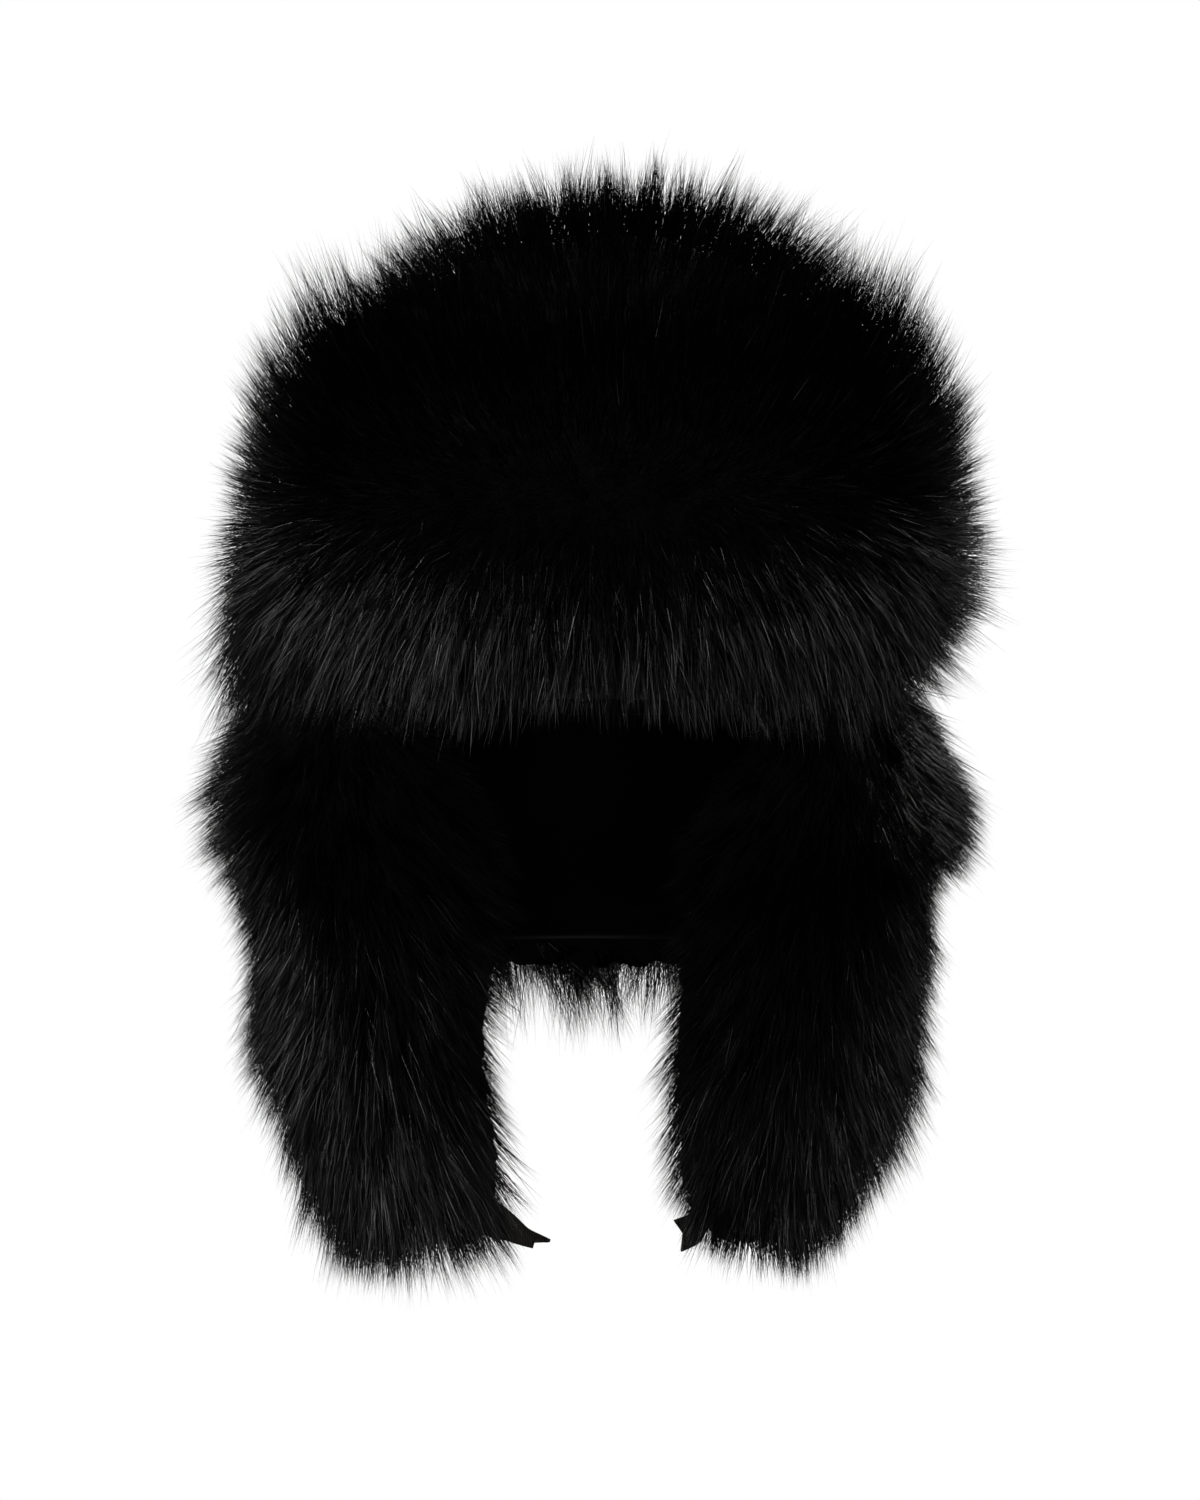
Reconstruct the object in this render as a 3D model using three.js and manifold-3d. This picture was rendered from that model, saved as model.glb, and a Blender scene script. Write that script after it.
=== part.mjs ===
// A black fur ushanka: a lined crown, a front flap turned up against it, two hanging ear flaps with short
// straps at their ends, and a neck flap behind. Every outside face carries deep fur in locks.
// Millimetres, +Z up. The front faces -Y, and left and right are as seen from the front.
// The origin is the centre of the head opening, at the crown's rim.

import * as THREE from "three";
import Module from "manifold-3d";

const wasm = await Module();
wasm.setup();

// The hollow fits a head of 58 cm round
const HEAD_HALF_WIDTH = 82.5;
const HEAD_HALF_DEPTH = 102.5;
const CROWN_HEIGHT = 140;
const DOME_POWER = 2.5; // 2 is an ellipse, and more makes the crown squarer

// Walls and the room between them
const WALL = 3;
const GAP = 0.3;
const FACET_SAG = 0.6; // how far a flat facet of the fur's backing dips inside the true curve
const FUR_SEAT = WALL + GAP + FACET_SAG;
const CUT_CLEARANCE = 0.8; // room left where one piece of fur is trimmed by the piece that lies on it

// The fur's pile, measured from its backing
const CROWN_PILE = 44;
const RIGHT_NOTCH_PILE = 0.82; // share of the crown's pile that is left low on its right, above the ear flap
const FRONT_PILE = 42;
const NECK_PILE = 38;
const PRESSED_PILE = { low: 7.5, high: 17 }; // crown fur that the front flap presses, at its foot and its top
const VALLEY_SHARE = 0.7; // how high the fur stands between two locks
const LOCK_UNEVENNESS = 0.26; // part by which locks differ in length
const LOCK_SHIFT = 0.34; // part of a grid cell by which a lock's tip is off its place
const FRONT_FOOT_PILE = { left: 0.72, right: 0.5 }; // part of the front flap's pile that is left at its foot
const FRONT_SHOULDER_PILE = 1.3; // part of its pile between the middle and the upper corners

// How far a lock's tip drifts for each millimetre that it stands
const CROWN_FALL = 0.4;
const FRONT_FALL = { middle: 0.45, end: 1 };
const FRONT_CREST = { middle: 0.95, end: 0.8 }; // upward, along the flap's top
const FRONT_SPREAD = 0.75; // outward, at both ends of the flap
const EAR_FALL = { top: 0.15, foot: 0.95 };
const EAR_TOWARD_FACE = 1.5;
const EAR_TOWARD_BACK = 0.35;
const NECK_FALL = { top: 0.3, foot: 0.95 };

// Grid cells of each wall. The fur on it has finer ones, and a backing with the wall's own facets.
const LOCK_CELLS = 2; // cells of fur to one of the wall, each way
const CROWN_CELLS = 15;
const FRONT_COLUMNS = 17;
const FRONT_ROWS = 10;
const FRONT_LIP_ROWS = 4; // rows of the front panel below its fur
const EAR_COLUMNS = 7;
const EAR_ROWS = 11;
const NECK_COLUMNS = 11;
const NECK_CELL_ROWS = 5;

// The front flap: its lip starts under the rim, then the panel turns up outside the crown
const FRONT_END = 78; // degrees from the middle of the front to each end
const FRONT_CORNER = 30; // degrees where its upper corners start to round off
const FRONT_END_SHARE = 0.75; // height of the panel at its ends, as a part of its height in the middle
const FRONT_PROFILE = [
  { out: 3.9, height: 3 },
  { out: 9.5, height: 3 },
  { out: 13.5, height: 8 },
  { out: 14.5, height: 35 },
  { out: 14, height: 70 },
  { out: 9, height: 108 },
];

// The hanging flaps, from the rim down: half sizes of the oval on which each lies, and its edges in degrees
// from the middle of the front
const NECK_EDGE = 118;
const LEFT_EAR = {
  side: -1,
  rows: [
    { height: -1.1, halfWidth: 82.5, halfDepth: 102.5, front: 50, back: 117.6, pile: 62 },
    { height: -45, halfWidth: 95, halfDepth: 103, front: 33, back: 117.6, pile: 48 },
    { height: -88, halfWidth: 87, halfDepth: 97, front: 33, back: 109, pile: 42 },
    { height: -125, halfWidth: 87, halfDepth: 91, front: 34, back: 99, pile: 41 },
    { height: -160, halfWidth: 78, halfDepth: 85, front: 35, back: 93, pile: 36 },
    { height: -190, halfWidth: 68, halfDepth: 78, front: 39, back: 88, pile: 29 },
  ],
};
const RIGHT_EAR = {
  side: 1,
  rows: [
    { height: -0.6, halfWidth: 82.5, halfDepth: 102.5, front: 47, back: 117.6, pile: 43 },
    { height: -45, halfWidth: 86, halfDepth: 100, front: 31, back: 117.6, pile: 49 },
    { height: -88, halfWidth: 78, halfDepth: 94, front: 29, back: 109, pile: 42 },
    { height: -125, halfWidth: 74, halfDepth: 90, front: 28, back: 99, pile: 41 },
    { height: -160, halfWidth: 70, halfDepth: 84, front: 29, back: 92, pile: 35 },
    { height: -190, halfWidth: 62, halfDepth: 76, front: 32, back: 86, pile: 29 },
  ],
};
const EAR_TIP = 0.16; // part of an ear flap's length over which its end rounds in
const EAR_TIP_WIDTH = 0.5; // width left at the very end, as a part of the full width
const NECK_ROWS = [
  { height: -0.5, halfWidth: 82.5, halfDepth: 102.5 },
  { height: -45, halfWidth: 84, halfDepth: 104 },
  { height: -94, halfWidth: 80, halfDepth: 99 },
];
const NECK_TIP = 0.4;
const NECK_TIP_WIDTH = 0.8;

// Straps of flat webbing
const STRAP_WIDTH = 12;
const STRAP_THICKNESS = 1.6;
const STRAP_SEAT = 0.9; // room between a sewn strap and the curved lining it lies on
const STRAP_NOTCH = 3; // depth of the cut at the end
const STRAP_STEPS = 12;

const FUR_COLOUR = 0x0b0b0c;
const LINING_COLOUR = 0x070709;
const WEBBING_COLOUR = 0x101012;

const UPRIGHT = new THREE.Vector3(0, 0, 1);
const toRadians = THREE.MathUtils.degToRad;
const smooth = THREE.MathUtils.smoothstep;
const mix = THREE.MathUtils.lerp;

// A number from 0 to 1 that depends only on a lock's place in its grid
function scatter(column, row, channel) {
  const wave = Math.sin(column * 12.9898 + row * 78.233 + channel * 37.719) * 43758.5453;
  return wave - Math.floor(wave);
}

// A point on an upright oval wall; the angle is in degrees from the middle of the front
function wallPoint(angle, halfWidth, halfDepth, height) {
  const turn = toRadians(angle);
  return new THREE.Vector3(halfWidth * Math.sin(turn), -halfDepth * Math.cos(turn), height);
}

function angleOf(point) {
  return THREE.MathUtils.radToDeg(Math.atan2(point.x, -point.y));
}

// A table's values at a share of its length, on a smooth curve through its rows
function rowAt(rows, share) {
  const last = rows.length - 1;
  const place = THREE.MathUtils.clamp(share, 0, 1) * last;
  const index = Math.min(Math.floor(place), last - 1);
  const t = place - index;
  const near = [index - 1, index, index + 1, index + 2].map((i) => rows[THREE.MathUtils.clamp(i, 0, last)]);
  const value = {};
  for (const column of Object.keys(rows[0])) {
    const [p0, p1, p2, p3] = near.map((row) => row[column]);
    const startSlope = (p2 - p0) / 2;
    const endSlope = (p3 - p1) / 2;
    const cubic = 2 * p1 - 2 * p2 + startSlope + endSlope;
    const square = -3 * p1 + 3 * p2 - 2 * startSlope - endSlope;
    value[column] = ((cubic * t + square) * t + startSlope) * t + p1;
  }
  return value;
}

// Sheets: each gives a point of a wall's inside face, with u across and v up, both from 0 to 1

// The dome over the head, from a square whose middle is the crown's top and whose edge is the rim
function crownSheet(u, v) {
  const x = 2 * u - 1;
  const y = 2 * v - 1;
  const wide = Math.abs(x) > Math.abs(y);
  const reach = wide ? x : y;
  const share = reach === 0 ? 0 : (Math.PI / 4) * ((wide ? y : x) / reach);
  const around = wide ? share : Math.PI / 2 - share;
  const climb = (1 - Math.abs(reach)) * (Math.PI / 2);
  const spread = Math.sign(reach) * Math.cos(climb) ** (2 / DOME_POWER);
  return new THREE.Vector3(
    HEAD_HALF_WIDTH * spread * Math.cos(around),
    HEAD_HALF_DEPTH * spread * Math.sin(around),
    CROWN_HEIGHT * Math.sin(climb) ** (2 / DOME_POWER),
  );
}

crownSheet.normalAt = (point) => {
  const across = Math.hypot(point.x / HEAD_HALF_WIDTH, point.y / HEAD_HALF_DEPTH);
  const sideways = across > 0 ? across ** (DOME_POWER - 2) : 0;
  return new THREE.Vector3(
    (sideways * point.x) / HEAD_HALF_WIDTH ** 2,
    (sideways * point.y) / HEAD_HALF_DEPTH ** 2,
    (point.z / CROWN_HEIGHT) ** (DOME_POWER - 1) / CROWN_HEIGHT,
  ).normalize();
};

function frontTopShare(angle) {
  const pastCorner = Math.max(0, Math.abs(angle) - FRONT_CORNER) / (FRONT_END - FRONT_CORNER);
  return 1 - (1 - FRONT_END_SHARE) * pastCorner ** 2;
}

function frontSheet(u, v) {
  const angle = mix(-FRONT_END, FRONT_END, u);
  const row = rowAt(FRONT_PROFILE, v);
  const lip = FRONT_PROFILE[0].height;
  const height = lip + (row.height - lip) * frontTopShare(angle);
  return wallPoint(angle, HEAD_HALF_WIDTH + row.out, HEAD_HALF_DEPTH + row.out, height);
}

// The part of the front panel above its lip, which carries the fur
function frontFurSheet(u, v) {
  return frontSheet(u, mix(FRONT_LIP_ROWS / FRONT_ROWS, 1, v));
}
frontFurSheet.isUpright = true;

// The width left at a height above a flap's end, whose corners are rounded off
function roundedWidth(v, tip, tipWidth) {
  const left = Math.max(0, 1 - v / tip);
  return mix(tipWidth, 1, Math.sqrt(1 - left ** 2));
}

function earSheet(ear) {
  const sheet = (u, v) => {
    const row = rowAt(ear.rows, 1 - v);
    const fromFront = ear.side > 0 ? u : 1 - u;
    const width = roundedWidth(v, EAR_TIP, EAR_TIP_WIDTH);
    const middle = (row.front + row.back) / 2;
    const angle = middle + (fromFront - 0.5) * (row.back - row.front) * width;
    return wallPoint(ear.side * angle, row.halfWidth, row.halfDepth, row.height);
  };
  sheet.isUpright = true;
  return sheet;
}

function neckSheet(u, v) {
  const row = rowAt(NECK_ROWS, 1 - v);
  const halfSweep = (180 - NECK_EDGE) * roundedWidth(v, NECK_TIP, NECK_TIP_WIDTH);
  return wallPoint(180 + (2 * u - 1) * halfSweep, row.halfWidth, row.halfDepth, row.height);
}
neckSheet.isUpright = true;

// The way out of a sheet. On an upright one it is level, so that deep fur on a hollow stretch doesn't cross.
function normalOf(sheet, point, across, up) {
  if (sheet.normalAt) return sheet.normalAt(point);
  return across.clone().cross(sheet.isUpright ? UPRIGHT : up).normalize();
}

// A sheet's point with its outward normal and its directions across and up
function placeOn(sheet, u, v) {
  const step = 0.004;
  const clamp = (share) => THREE.MathUtils.clamp(share, 0, 1);
  const point = sheet(u, v);
  const across = sheet(clamp(u + step), v).sub(sheet(clamp(u - step), v));
  const up = sheet(u, clamp(v + step)).sub(sheet(u, clamp(v - step)));
  const normal = normalOf(sheet, point, across, up);
  return { u, v, point, normal, across: across.normalize(), up: up.normalize() };
}

function gridOf(columns, rows, pointAt) {
  const points = [];
  for (let row = 0; row <= rows; row += 1) {
    for (let column = 0; column <= columns; column += 1) {
      points.push(pointAt(column, row));
    }
  }
  return { columns, rows, points };
}

// The rim of a grid, as indices round it
function rimOf({ columns, rows }) {
  const rim = [];
  const index = (column, row) => row * (columns + 1) + column;
  for (let column = 0; column < columns; column += 1) rim.push(index(column, 0));
  for (let row = 0; row < rows; row += 1) rim.push(index(columns, row));
  for (let column = columns; column > 0; column -= 1) rim.push(index(column, rows));
  for (let row = rows; row > 0; row -= 1) rim.push(index(0, row));
  return rim;
}

// Two triangles for each cell; the diagonal joins the low corners, so each high one stands as its own lock
function facesOf({ columns, rows }) {
  const faces = [];
  for (let row = 0; row < rows; row += 1) {
    for (let column = 0; column < columns; column += 1) {
      const a = row * (columns + 1) + column;
      const b = a + 1;
      const c = b + columns + 1;
      const d = a + columns + 1;
      const isHighCorner = (column + row) % 2 === 0;
      faces.push(...(isHighCorner ? [[a, b, d], [b, c, d]] : [[a, b, c], [a, c, d]]));
    }
  }
  return faces;
}

// A solid between an outer grid and an inner one, whose cells may be some times larger
function solidBetween(outer, inner) {
  const offset = outer.points.length;
  const points = [...outer.points, ...inner.points];
  const faces = facesOf(outer);
  for (const [a, b, c] of facesOf(inner)) faces.push([a + offset, c + offset, b + offset]);
  const outerRim = rimOf(outer);
  const innerRim = rimOf(inner).map((index) => index + offset);
  const ratio = outerRim.length / innerRim.length;
  const half = Math.floor(ratio / 2);
  innerRim.forEach((start, k) => {
    const end = innerRim[(k + 1) % innerRim.length];
    const outerAt = (j) => outerRim[(k * ratio + j) % outerRim.length];
    for (let j = 0; j < ratio; j += 1) {
      faces.push([outerAt(j + 1), outerAt(j), j < half ? start : end]);
    }
    faces.push([outerAt(half), start, end]);
  });
  return manifoldFrom(points, faces);
}

function manifoldFrom(points, faces) {
  const vertProperties = new Float32Array(points.flatMap((point) => point.toArray()));
  const triVerts = new Uint32Array(faces.flat());
  return new wasm.Manifold(new wasm.Mesh({ numProp: 3, vertProperties, triVerts }));
}

function geometryFrom(solid) {
  const mesh = solid.getMesh();
  const geometry = new THREE.BufferGeometry();
  geometry.setAttribute("position", new THREE.BufferAttribute(new Float32Array(mesh.vertProperties), 3));
  geometry.setIndex(new THREE.BufferAttribute(new Uint32Array(mesh.triVerts), 1));
  geometry.computeVertexNormals();
  return geometry;
}

// A solid whose faces are all moved outward by the cutting clearance, to trim its neighbours by. Each corner
// goes where the faces that meet there would meet again, as nearly as one point can.
function fattened(solid) {
  const geometry = geometryFrom(solid);
  const { position } = geometry.attributes;
  const faces = [...geometry.index.array];
  const cornerAt = (_, i) => new THREE.Vector3().fromBufferAttribute(position, i);
  const corners = Array.from({ length: position.count }, cornerAt);
  const meetings = corners.map(() => []);
  for (let i = 0; i < faces.length; i += 3) {
    const face = faces.slice(i, i + 3);
    const triangle = new THREE.Triangle(...face.map((corner) => corners[corner]));
    const normal = triangle.getNormal(new THREE.Vector3());
    for (const corner of face) meetings[corner].push(normal);
  }
  const points = corners.map((corner, i) => corner.clone().add(moveFor(meetings[i])));
  return manifoldFrom(points, [faces]);
}

// The move of a corner that best shifts each of its faces outward by the clearance
function moveFor(normals) {
  const damping = 0.03 * normals.length; // keeps the move short where the faces nearly fold back
  const longest = 3 * CUT_CLEARANCE;
  const total = (value) => normals.reduce((sum, normal) => sum + value(normal), 0);
  const [xx, yy, zz] = [total((n) => n.x * n.x), total((n) => n.y * n.y), total((n) => n.z * n.z)];
  const [xy, xz, yz] = [total((n) => n.x * n.y), total((n) => n.x * n.z), total((n) => n.y * n.z)];
  const spread = new THREE.Matrix3(xx + damping, xy, xz, xy, yy + damping, yz, xz, yz, zz + damping);
  const pull = new THREE.Vector3(total((n) => n.x), total((n) => n.y), total((n) => n.z));
  return pull.multiplyScalar(CUT_CLEARANCE).applyMatrix3(spread.invert()).clampLength(0, longest);
}

// A wall of even thickness on a sheet
function wallOn(sheet, columns, rows) {
  const faceAt = (depth) =>
    gridOf(columns, rows, (column, row) => {
      const place = placeOn(sheet, column / columns, row / rows);
      return place.point.addScaledVector(place.normal, depth);
    });
  return solidBetween(faceAt(WALL), faceAt(0));
}

// Fur on a sheet: a smooth backing, and an outer face that stands up in a lock at every other grid point.
// pile gives the fur's depth at a place, and lean the way its tips drift for each millimetre of height.
function furOn({ sheet, columns, rows, pile, lean }) {
  const outer = gridOf(columns, rows, (column, row) => {
    const isLock = (column + row) % 2 === 0;
    const isInside = column > 0 && column < columns && row > 0 && row < rows;
    const shift = isLock && isInside ? LOCK_SHIFT : 0;
    const u = (column + shift * (2 * scatter(column, row, 1) - 1)) / columns;
    const v = (row + shift * (2 * scatter(column, row, 2) - 1)) / rows;
    const place = placeOn(sheet, u, v);
    const uneven = 1 + LOCK_UNEVENNESS * (scatter(column, row, 3) - 0.5);
    const height = pile(place) * (isLock ? uneven : VALLEY_SHARE * uneven);
    return place.point
      .addScaledVector(place.normal, FUR_SEAT + height)
      .addScaledVector(lean(place), height);
  });
  const backing = gridOf(columns / LOCK_CELLS, rows / LOCK_CELLS, (column, row) => {
    const place = placeOn(sheet, (column * LOCK_CELLS) / columns, (row * LOCK_CELLS) / rows);
    return place.point.addScaledVector(place.normal, FUR_SEAT);
  });
  return solidBetween(outer, backing);
}

// How much of its full height the pile has near a free edge, which it rounds over
function edgeShare(distance) {
  const rounding = 0.2;
  const atEdge = 0.62;
  return mix(atEdge, 1, smooth(distance, 0, rounding));
}

// How much of its full height a hanging flap's pile has near the rim, where the fur above falls over it
function rimShare(v) {
  const atRim = 0.75;
  const start = 0.82;
  return mix(1, atRim, smooth(v, start, 1));
}

// 1 where the front flap lies over the crown, 0 away from it
function underFrontFlap(point) {
  const angle = Math.abs(angleOf(point));
  const top = FRONT_PROFILE.at(-1).height * frontTopShare(Math.min(angle, FRONT_END));
  return (1 - smooth(angle, FRONT_END - 2, FRONT_END + 7)) * (1 - smooth(point.z, top - 10, top + 6));
}

const crownFur = {
  sheet: crownSheet,
  columns: LOCK_CELLS * CROWN_CELLS,
  rows: LOCK_CELLS * CROWN_CELLS,
  pile: ({ point }) => {
    const pressed = mix(PRESSED_PILE.low, PRESSED_PILE.high, smooth(point.z, 50, 110));
    const notch = smooth(point.x, 55, 80) * (1 - smooth(point.z, 15, 40));
    return mix(CROWN_PILE, pressed, underFrontFlap(point)) * mix(1, RIGHT_NOTCH_PILE, notch);
  },
  lean: ({ point }) => {
    const fall = CROWN_FALL * (1 - smooth(point.z, 10, 110)) * (1 - underFrontFlap(point));
    return new THREE.Vector3(0, 0, -fall);
  },
};

// The front flap's fur stands up along its top, points forward below that and falls along its foot
const frontFur = {
  sheet: frontFurSheet,
  columns: LOCK_CELLS * FRONT_COLUMNS,
  rows: LOCK_CELLS * (FRONT_ROWS - FRONT_LIP_ROWS),
  pile: ({ u, v }) => {
    const foot = mix(FRONT_FOOT_PILE.left, FRONT_FOOT_PILE.right, smooth(u, 0.6, 0.9));
    const aside = Math.abs(2 * u - 1);
    const onShoulder = smooth(aside, 0.25, 0.45) * (1 - smooth(aside, 0.55, 0.8)) * smooth(v, 0.6, 1);
    return FRONT_PILE * mix(foot, 1, smooth(v, 0, 0.4)) * mix(1, FRONT_SHOULDER_PILE, onShoulder);
  },
  lean: ({ u, v, across, up }) => {
    const aside = 2 * u - 1;
    const fall = (1 - smooth(v, 0, 0.55)) * mix(FRONT_FALL.middle, FRONT_FALL.end, Math.abs(aside));
    const crest = smooth(v, 0.5, 1) * mix(FRONT_CREST.middle, FRONT_CREST.end, aside ** 2);
    return up.clone().multiplyScalar(crest - fall).addScaledVector(across, FRONT_SPREAD * aside ** 5);
  },
};

// An ear flap's fur leans towards the face along its front edge, back along its rear one, and falls
function earFur(ear) {
  return {
    sheet: earSheet(ear),
    columns: LOCK_CELLS * EAR_COLUMNS,
    rows: LOCK_CELLS * EAR_ROWS,
    pile: ({ u, v }) => {
      const fromEdge = 1.6 * Math.min(u, 1 - u, v + 0.05); // the flap is that much longer than it is wide
      return rowAt(ear.rows, 1 - v).pile * edgeShare(fromEdge) * rimShare(v);
    },
    lean: ({ u, v, across, up }) => {
      const fromFront = ear.side > 0 ? u : 1 - u;
      const towardFace = EAR_TOWARD_FACE * (1 - smooth(fromFront, 0, 0.5));
      const towardBack = EAR_TOWARD_BACK * smooth(fromFront, 0.6, 1);
      const fall = mix(EAR_FALL.foot, EAR_FALL.top, smooth(v, 0, 1));
      return across.clone().multiplyScalar(ear.side * (towardBack - towardFace)).addScaledVector(up, -fall);
    },
  };
}

const neckFur = {
  sheet: neckSheet,
  columns: LOCK_CELLS * NECK_COLUMNS,
  rows: LOCK_CELLS * NECK_CELL_ROWS,
  pile: ({ v }) => NECK_PILE * edgeShare(v) * rimShare(v),
  lean: ({ v, up }) => up.clone().multiplyScalar(-mix(NECK_FALL.foot, NECK_FALL.top, smooth(v, 0, 0.7))),
};

// The largest single body that is left of a solid once others are cut from it
function trimmed(solid, ...cutters) {
  const rest = cutters.reduce((left, cutter) => left.subtract(cutter), solid);
  return rest.decompose().reduce((best, body) => (body.volume() > best.volume() ? body : best));
}

// A strap along a curve: each stop has its centre and the direction of its width
function strapAlong(stops) {
  const path = new THREE.CatmullRomCurve3(stops.map((stop) => stop.centre));
  const widths = new THREE.CatmullRomCurve3(stops.map((stop) => stop.width));
  const points = [];
  for (let step = 0; step <= STRAP_STEPS; step += 1) {
    const t = step / STRAP_STEPS;
    const centre = path.getPoint(t);
    const tangent = path.getTangent(t);
    const width = widths.getPoint(t).projectOnPlane(tangent).normalize();
    const face = width.clone().cross(tangent).normalize();
    const notch = step === STRAP_STEPS ? -STRAP_NOTCH : 0;
    for (const [aside, above] of [[-1, 1], [0, 1], [1, 1], [1, -1], [0, -1], [-1, -1]]) {
      points.push(
        centre
          .clone()
          .addScaledVector(width, (aside * STRAP_WIDTH) / 2)
          .addScaledVector(face, (above * STRAP_THICKNESS) / 2)
          .addScaledVector(tangent, aside === 0 ? notch : 0),
      );
    }
  }
  const ring = 6;
  const faces = [];
  for (let step = 0; step < STRAP_STEPS; step += 1) {
    for (let corner = 0; corner < ring; corner += 1) {
      const a = step * ring + corner;
      const b = step * ring + ((corner + 1) % ring);
      faces.push([a, b, b + ring], [a, b + ring, a + ring]);
    }
  }
  const last = STRAP_STEPS * ring;
  for (const [a, b, c] of [[0, 1, 4], [0, 4, 5], [1, 2, 3], [1, 3, 4]]) {
    faces.push([a, c, b], [a + last, b + last, c + last]);
  }
  return manifoldFrom(points, faces);
}

// A strap's stop on the inside face of an ear flap
function sewnStop(ear, fromFront, v) {
  const place = placeOn(earSheet(ear), ear.side > 0 ? fromFront : 1 - fromFront, v);
  const centre = place.point.addScaledVector(place.normal, -(STRAP_SEAT + STRAP_THICKNESS / 2));
  return { centre, width: place.up };
}

function freeStop(x, y, z, width) {
  return { centre: new THREE.Vector3(x, y, z), width };
}

const leftStrap = [
  sewnStop(LEFT_EAR, 0.8, 0.11),
  sewnStop(LEFT_EAR, 0.6, 0.11),
  sewnStop(LEFT_EAR, 0.45, 0.11),
  sewnStop(LEFT_EAR, 0.3, 0.11),
  freeStop(-45.5, -50, -183, new THREE.Vector3(-0.3, -0.2, 1)),
  freeStop(-38.5, -57.5, -190.5, new THREE.Vector3(0, 0.5, 0.9)),
  freeStop(-31, -64, -194.5, new THREE.Vector3(0.1, 0.95, 0.4)),
  freeStop(-22, -69, -197.5, new THREE.Vector3(0, 1, 0.25)),
];
const rightStrap = [
  sewnStop(RIGHT_EAR, 0.8, 0.11),
  sewnStop(RIGHT_EAR, 0.6, 0.1),
  sewnStop(RIGHT_EAR, 0.45, 0.09),
  sewnStop(RIGHT_EAR, 0.3, 0.08),
  freeStop(39, -52, -188, new THREE.Vector3(0.3, -0.3, 1)),
  freeStop(34, -58, -192.5, new THREE.Vector3(0.05, -0.1, 1)),
  freeStop(27, -65, -195, new THREE.Vector3(-0.1, 0, 1)),
];

const frontPanel = wallOn(frontSheet, FRONT_COLUMNS, FRONT_ROWS);
const frontFurSolid = furOn(frontFur);
const crownFurSolid = furOn(crownFur);
const leftFurSolid = furOn(earFur(LEFT_EAR));
const rightFurSolid = furOn(earFur(RIGHT_EAR));
const aroundFront = [fattened(frontPanel), fattened(frontFurSolid)];
const aroundCrown = fattened(crownFurSolid);
const aroundEars = [fattened(leftFurSolid), fattened(rightFurSolid)];

const fur = new THREE.MeshStandardMaterial({ color: FUR_COLOUR, roughness: 0.6, metalness: 0 });
const satin = new THREE.MeshStandardMaterial({ color: LINING_COLOUR, roughness: 0.45, metalness: 0 });
const webbing = new THREE.MeshStandardMaterial({ color: WEBBING_COLOUR, roughness: 0.5, metalness: 0 });

const earLining = (ear) => wallOn(earSheet(ear), EAR_COLUMNS, EAR_ROWS);
const pieces = [
  { name: "crown_lining", material: satin, solid: wallOn(crownSheet, CROWN_CELLS, CROWN_CELLS) },
  { name: "crown_fur", material: fur, solid: trimmed(crownFurSolid, ...aroundFront) },
  { name: "front_flap", material: satin, solid: frontPanel },
  { name: "front_flap_fur", material: fur, solid: frontFurSolid },
  { name: "ear_flap_left_lining", material: satin, solid: earLining(LEFT_EAR) },
  { name: "ear_flap_left_fur", material: fur, solid: trimmed(leftFurSolid, ...aroundFront, aroundCrown) },
  { name: "ear_flap_right_lining", material: satin, solid: earLining(RIGHT_EAR) },
  { name: "ear_flap_right_fur", material: fur, solid: trimmed(rightFurSolid, ...aroundFront, aroundCrown) },
  { name: "neck_flap_lining", material: satin, solid: wallOn(neckSheet, NECK_COLUMNS, NECK_CELL_ROWS) },
  { name: "neck_flap_fur", material: fur, solid: trimmed(furOn(neckFur), aroundCrown, ...aroundEars) },
  { name: "strap_left", material: webbing, solid: strapAlong(leftStrap) },
  { name: "strap_right", material: webbing, solid: strapAlong(rightStrap) },
];

const ushanka = new THREE.Group();
ushanka.name = "ushanka";
for (const { name, material, solid } of pieces) {
  const mesh = new THREE.Mesh(geometryFrom(solid), material);
  mesh.name = name;
  ushanka.add(mesh);
}

export default ushanka;
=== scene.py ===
import math
from functools import partial
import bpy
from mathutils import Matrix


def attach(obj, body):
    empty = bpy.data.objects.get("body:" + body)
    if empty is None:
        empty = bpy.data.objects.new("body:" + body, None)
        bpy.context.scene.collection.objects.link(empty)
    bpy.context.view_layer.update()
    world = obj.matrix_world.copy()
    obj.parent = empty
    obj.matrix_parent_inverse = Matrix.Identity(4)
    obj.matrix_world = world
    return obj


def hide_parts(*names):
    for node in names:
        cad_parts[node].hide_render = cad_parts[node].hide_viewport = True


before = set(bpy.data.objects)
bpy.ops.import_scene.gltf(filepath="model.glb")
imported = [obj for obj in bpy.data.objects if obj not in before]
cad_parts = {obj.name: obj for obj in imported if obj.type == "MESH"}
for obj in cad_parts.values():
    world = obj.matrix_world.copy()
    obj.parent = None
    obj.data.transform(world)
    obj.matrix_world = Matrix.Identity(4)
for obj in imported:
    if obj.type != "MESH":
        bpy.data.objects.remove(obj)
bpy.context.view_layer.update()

from types import SimpleNamespace

import bpy
from mathutils import Vector
from mathutils.bvhtree import BVHTree

print("ushanka: frame loaded,", len(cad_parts), "nodes")

# Everything below is worked out in millimetres, like the frame, and turned to metres when a mesh is made.
# +Z is up, the front faces -Y, left and right are as seen from the front.
metre = 0.001
up = Vector((0, 0, 1))


def tableRows(columns, *lines):
    return [dict(zip(columns, line)) for line in lines]


crownShape = {
    "halfWidth": 82.5,
    "halfDepth": 102.5,
    "height": 140,
    "power": 2.5,  # 2 would be an ellipse, more is squarer
    "furSeat": 3.9,  # from a wall's inner face out to the fur's backing
}

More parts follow.
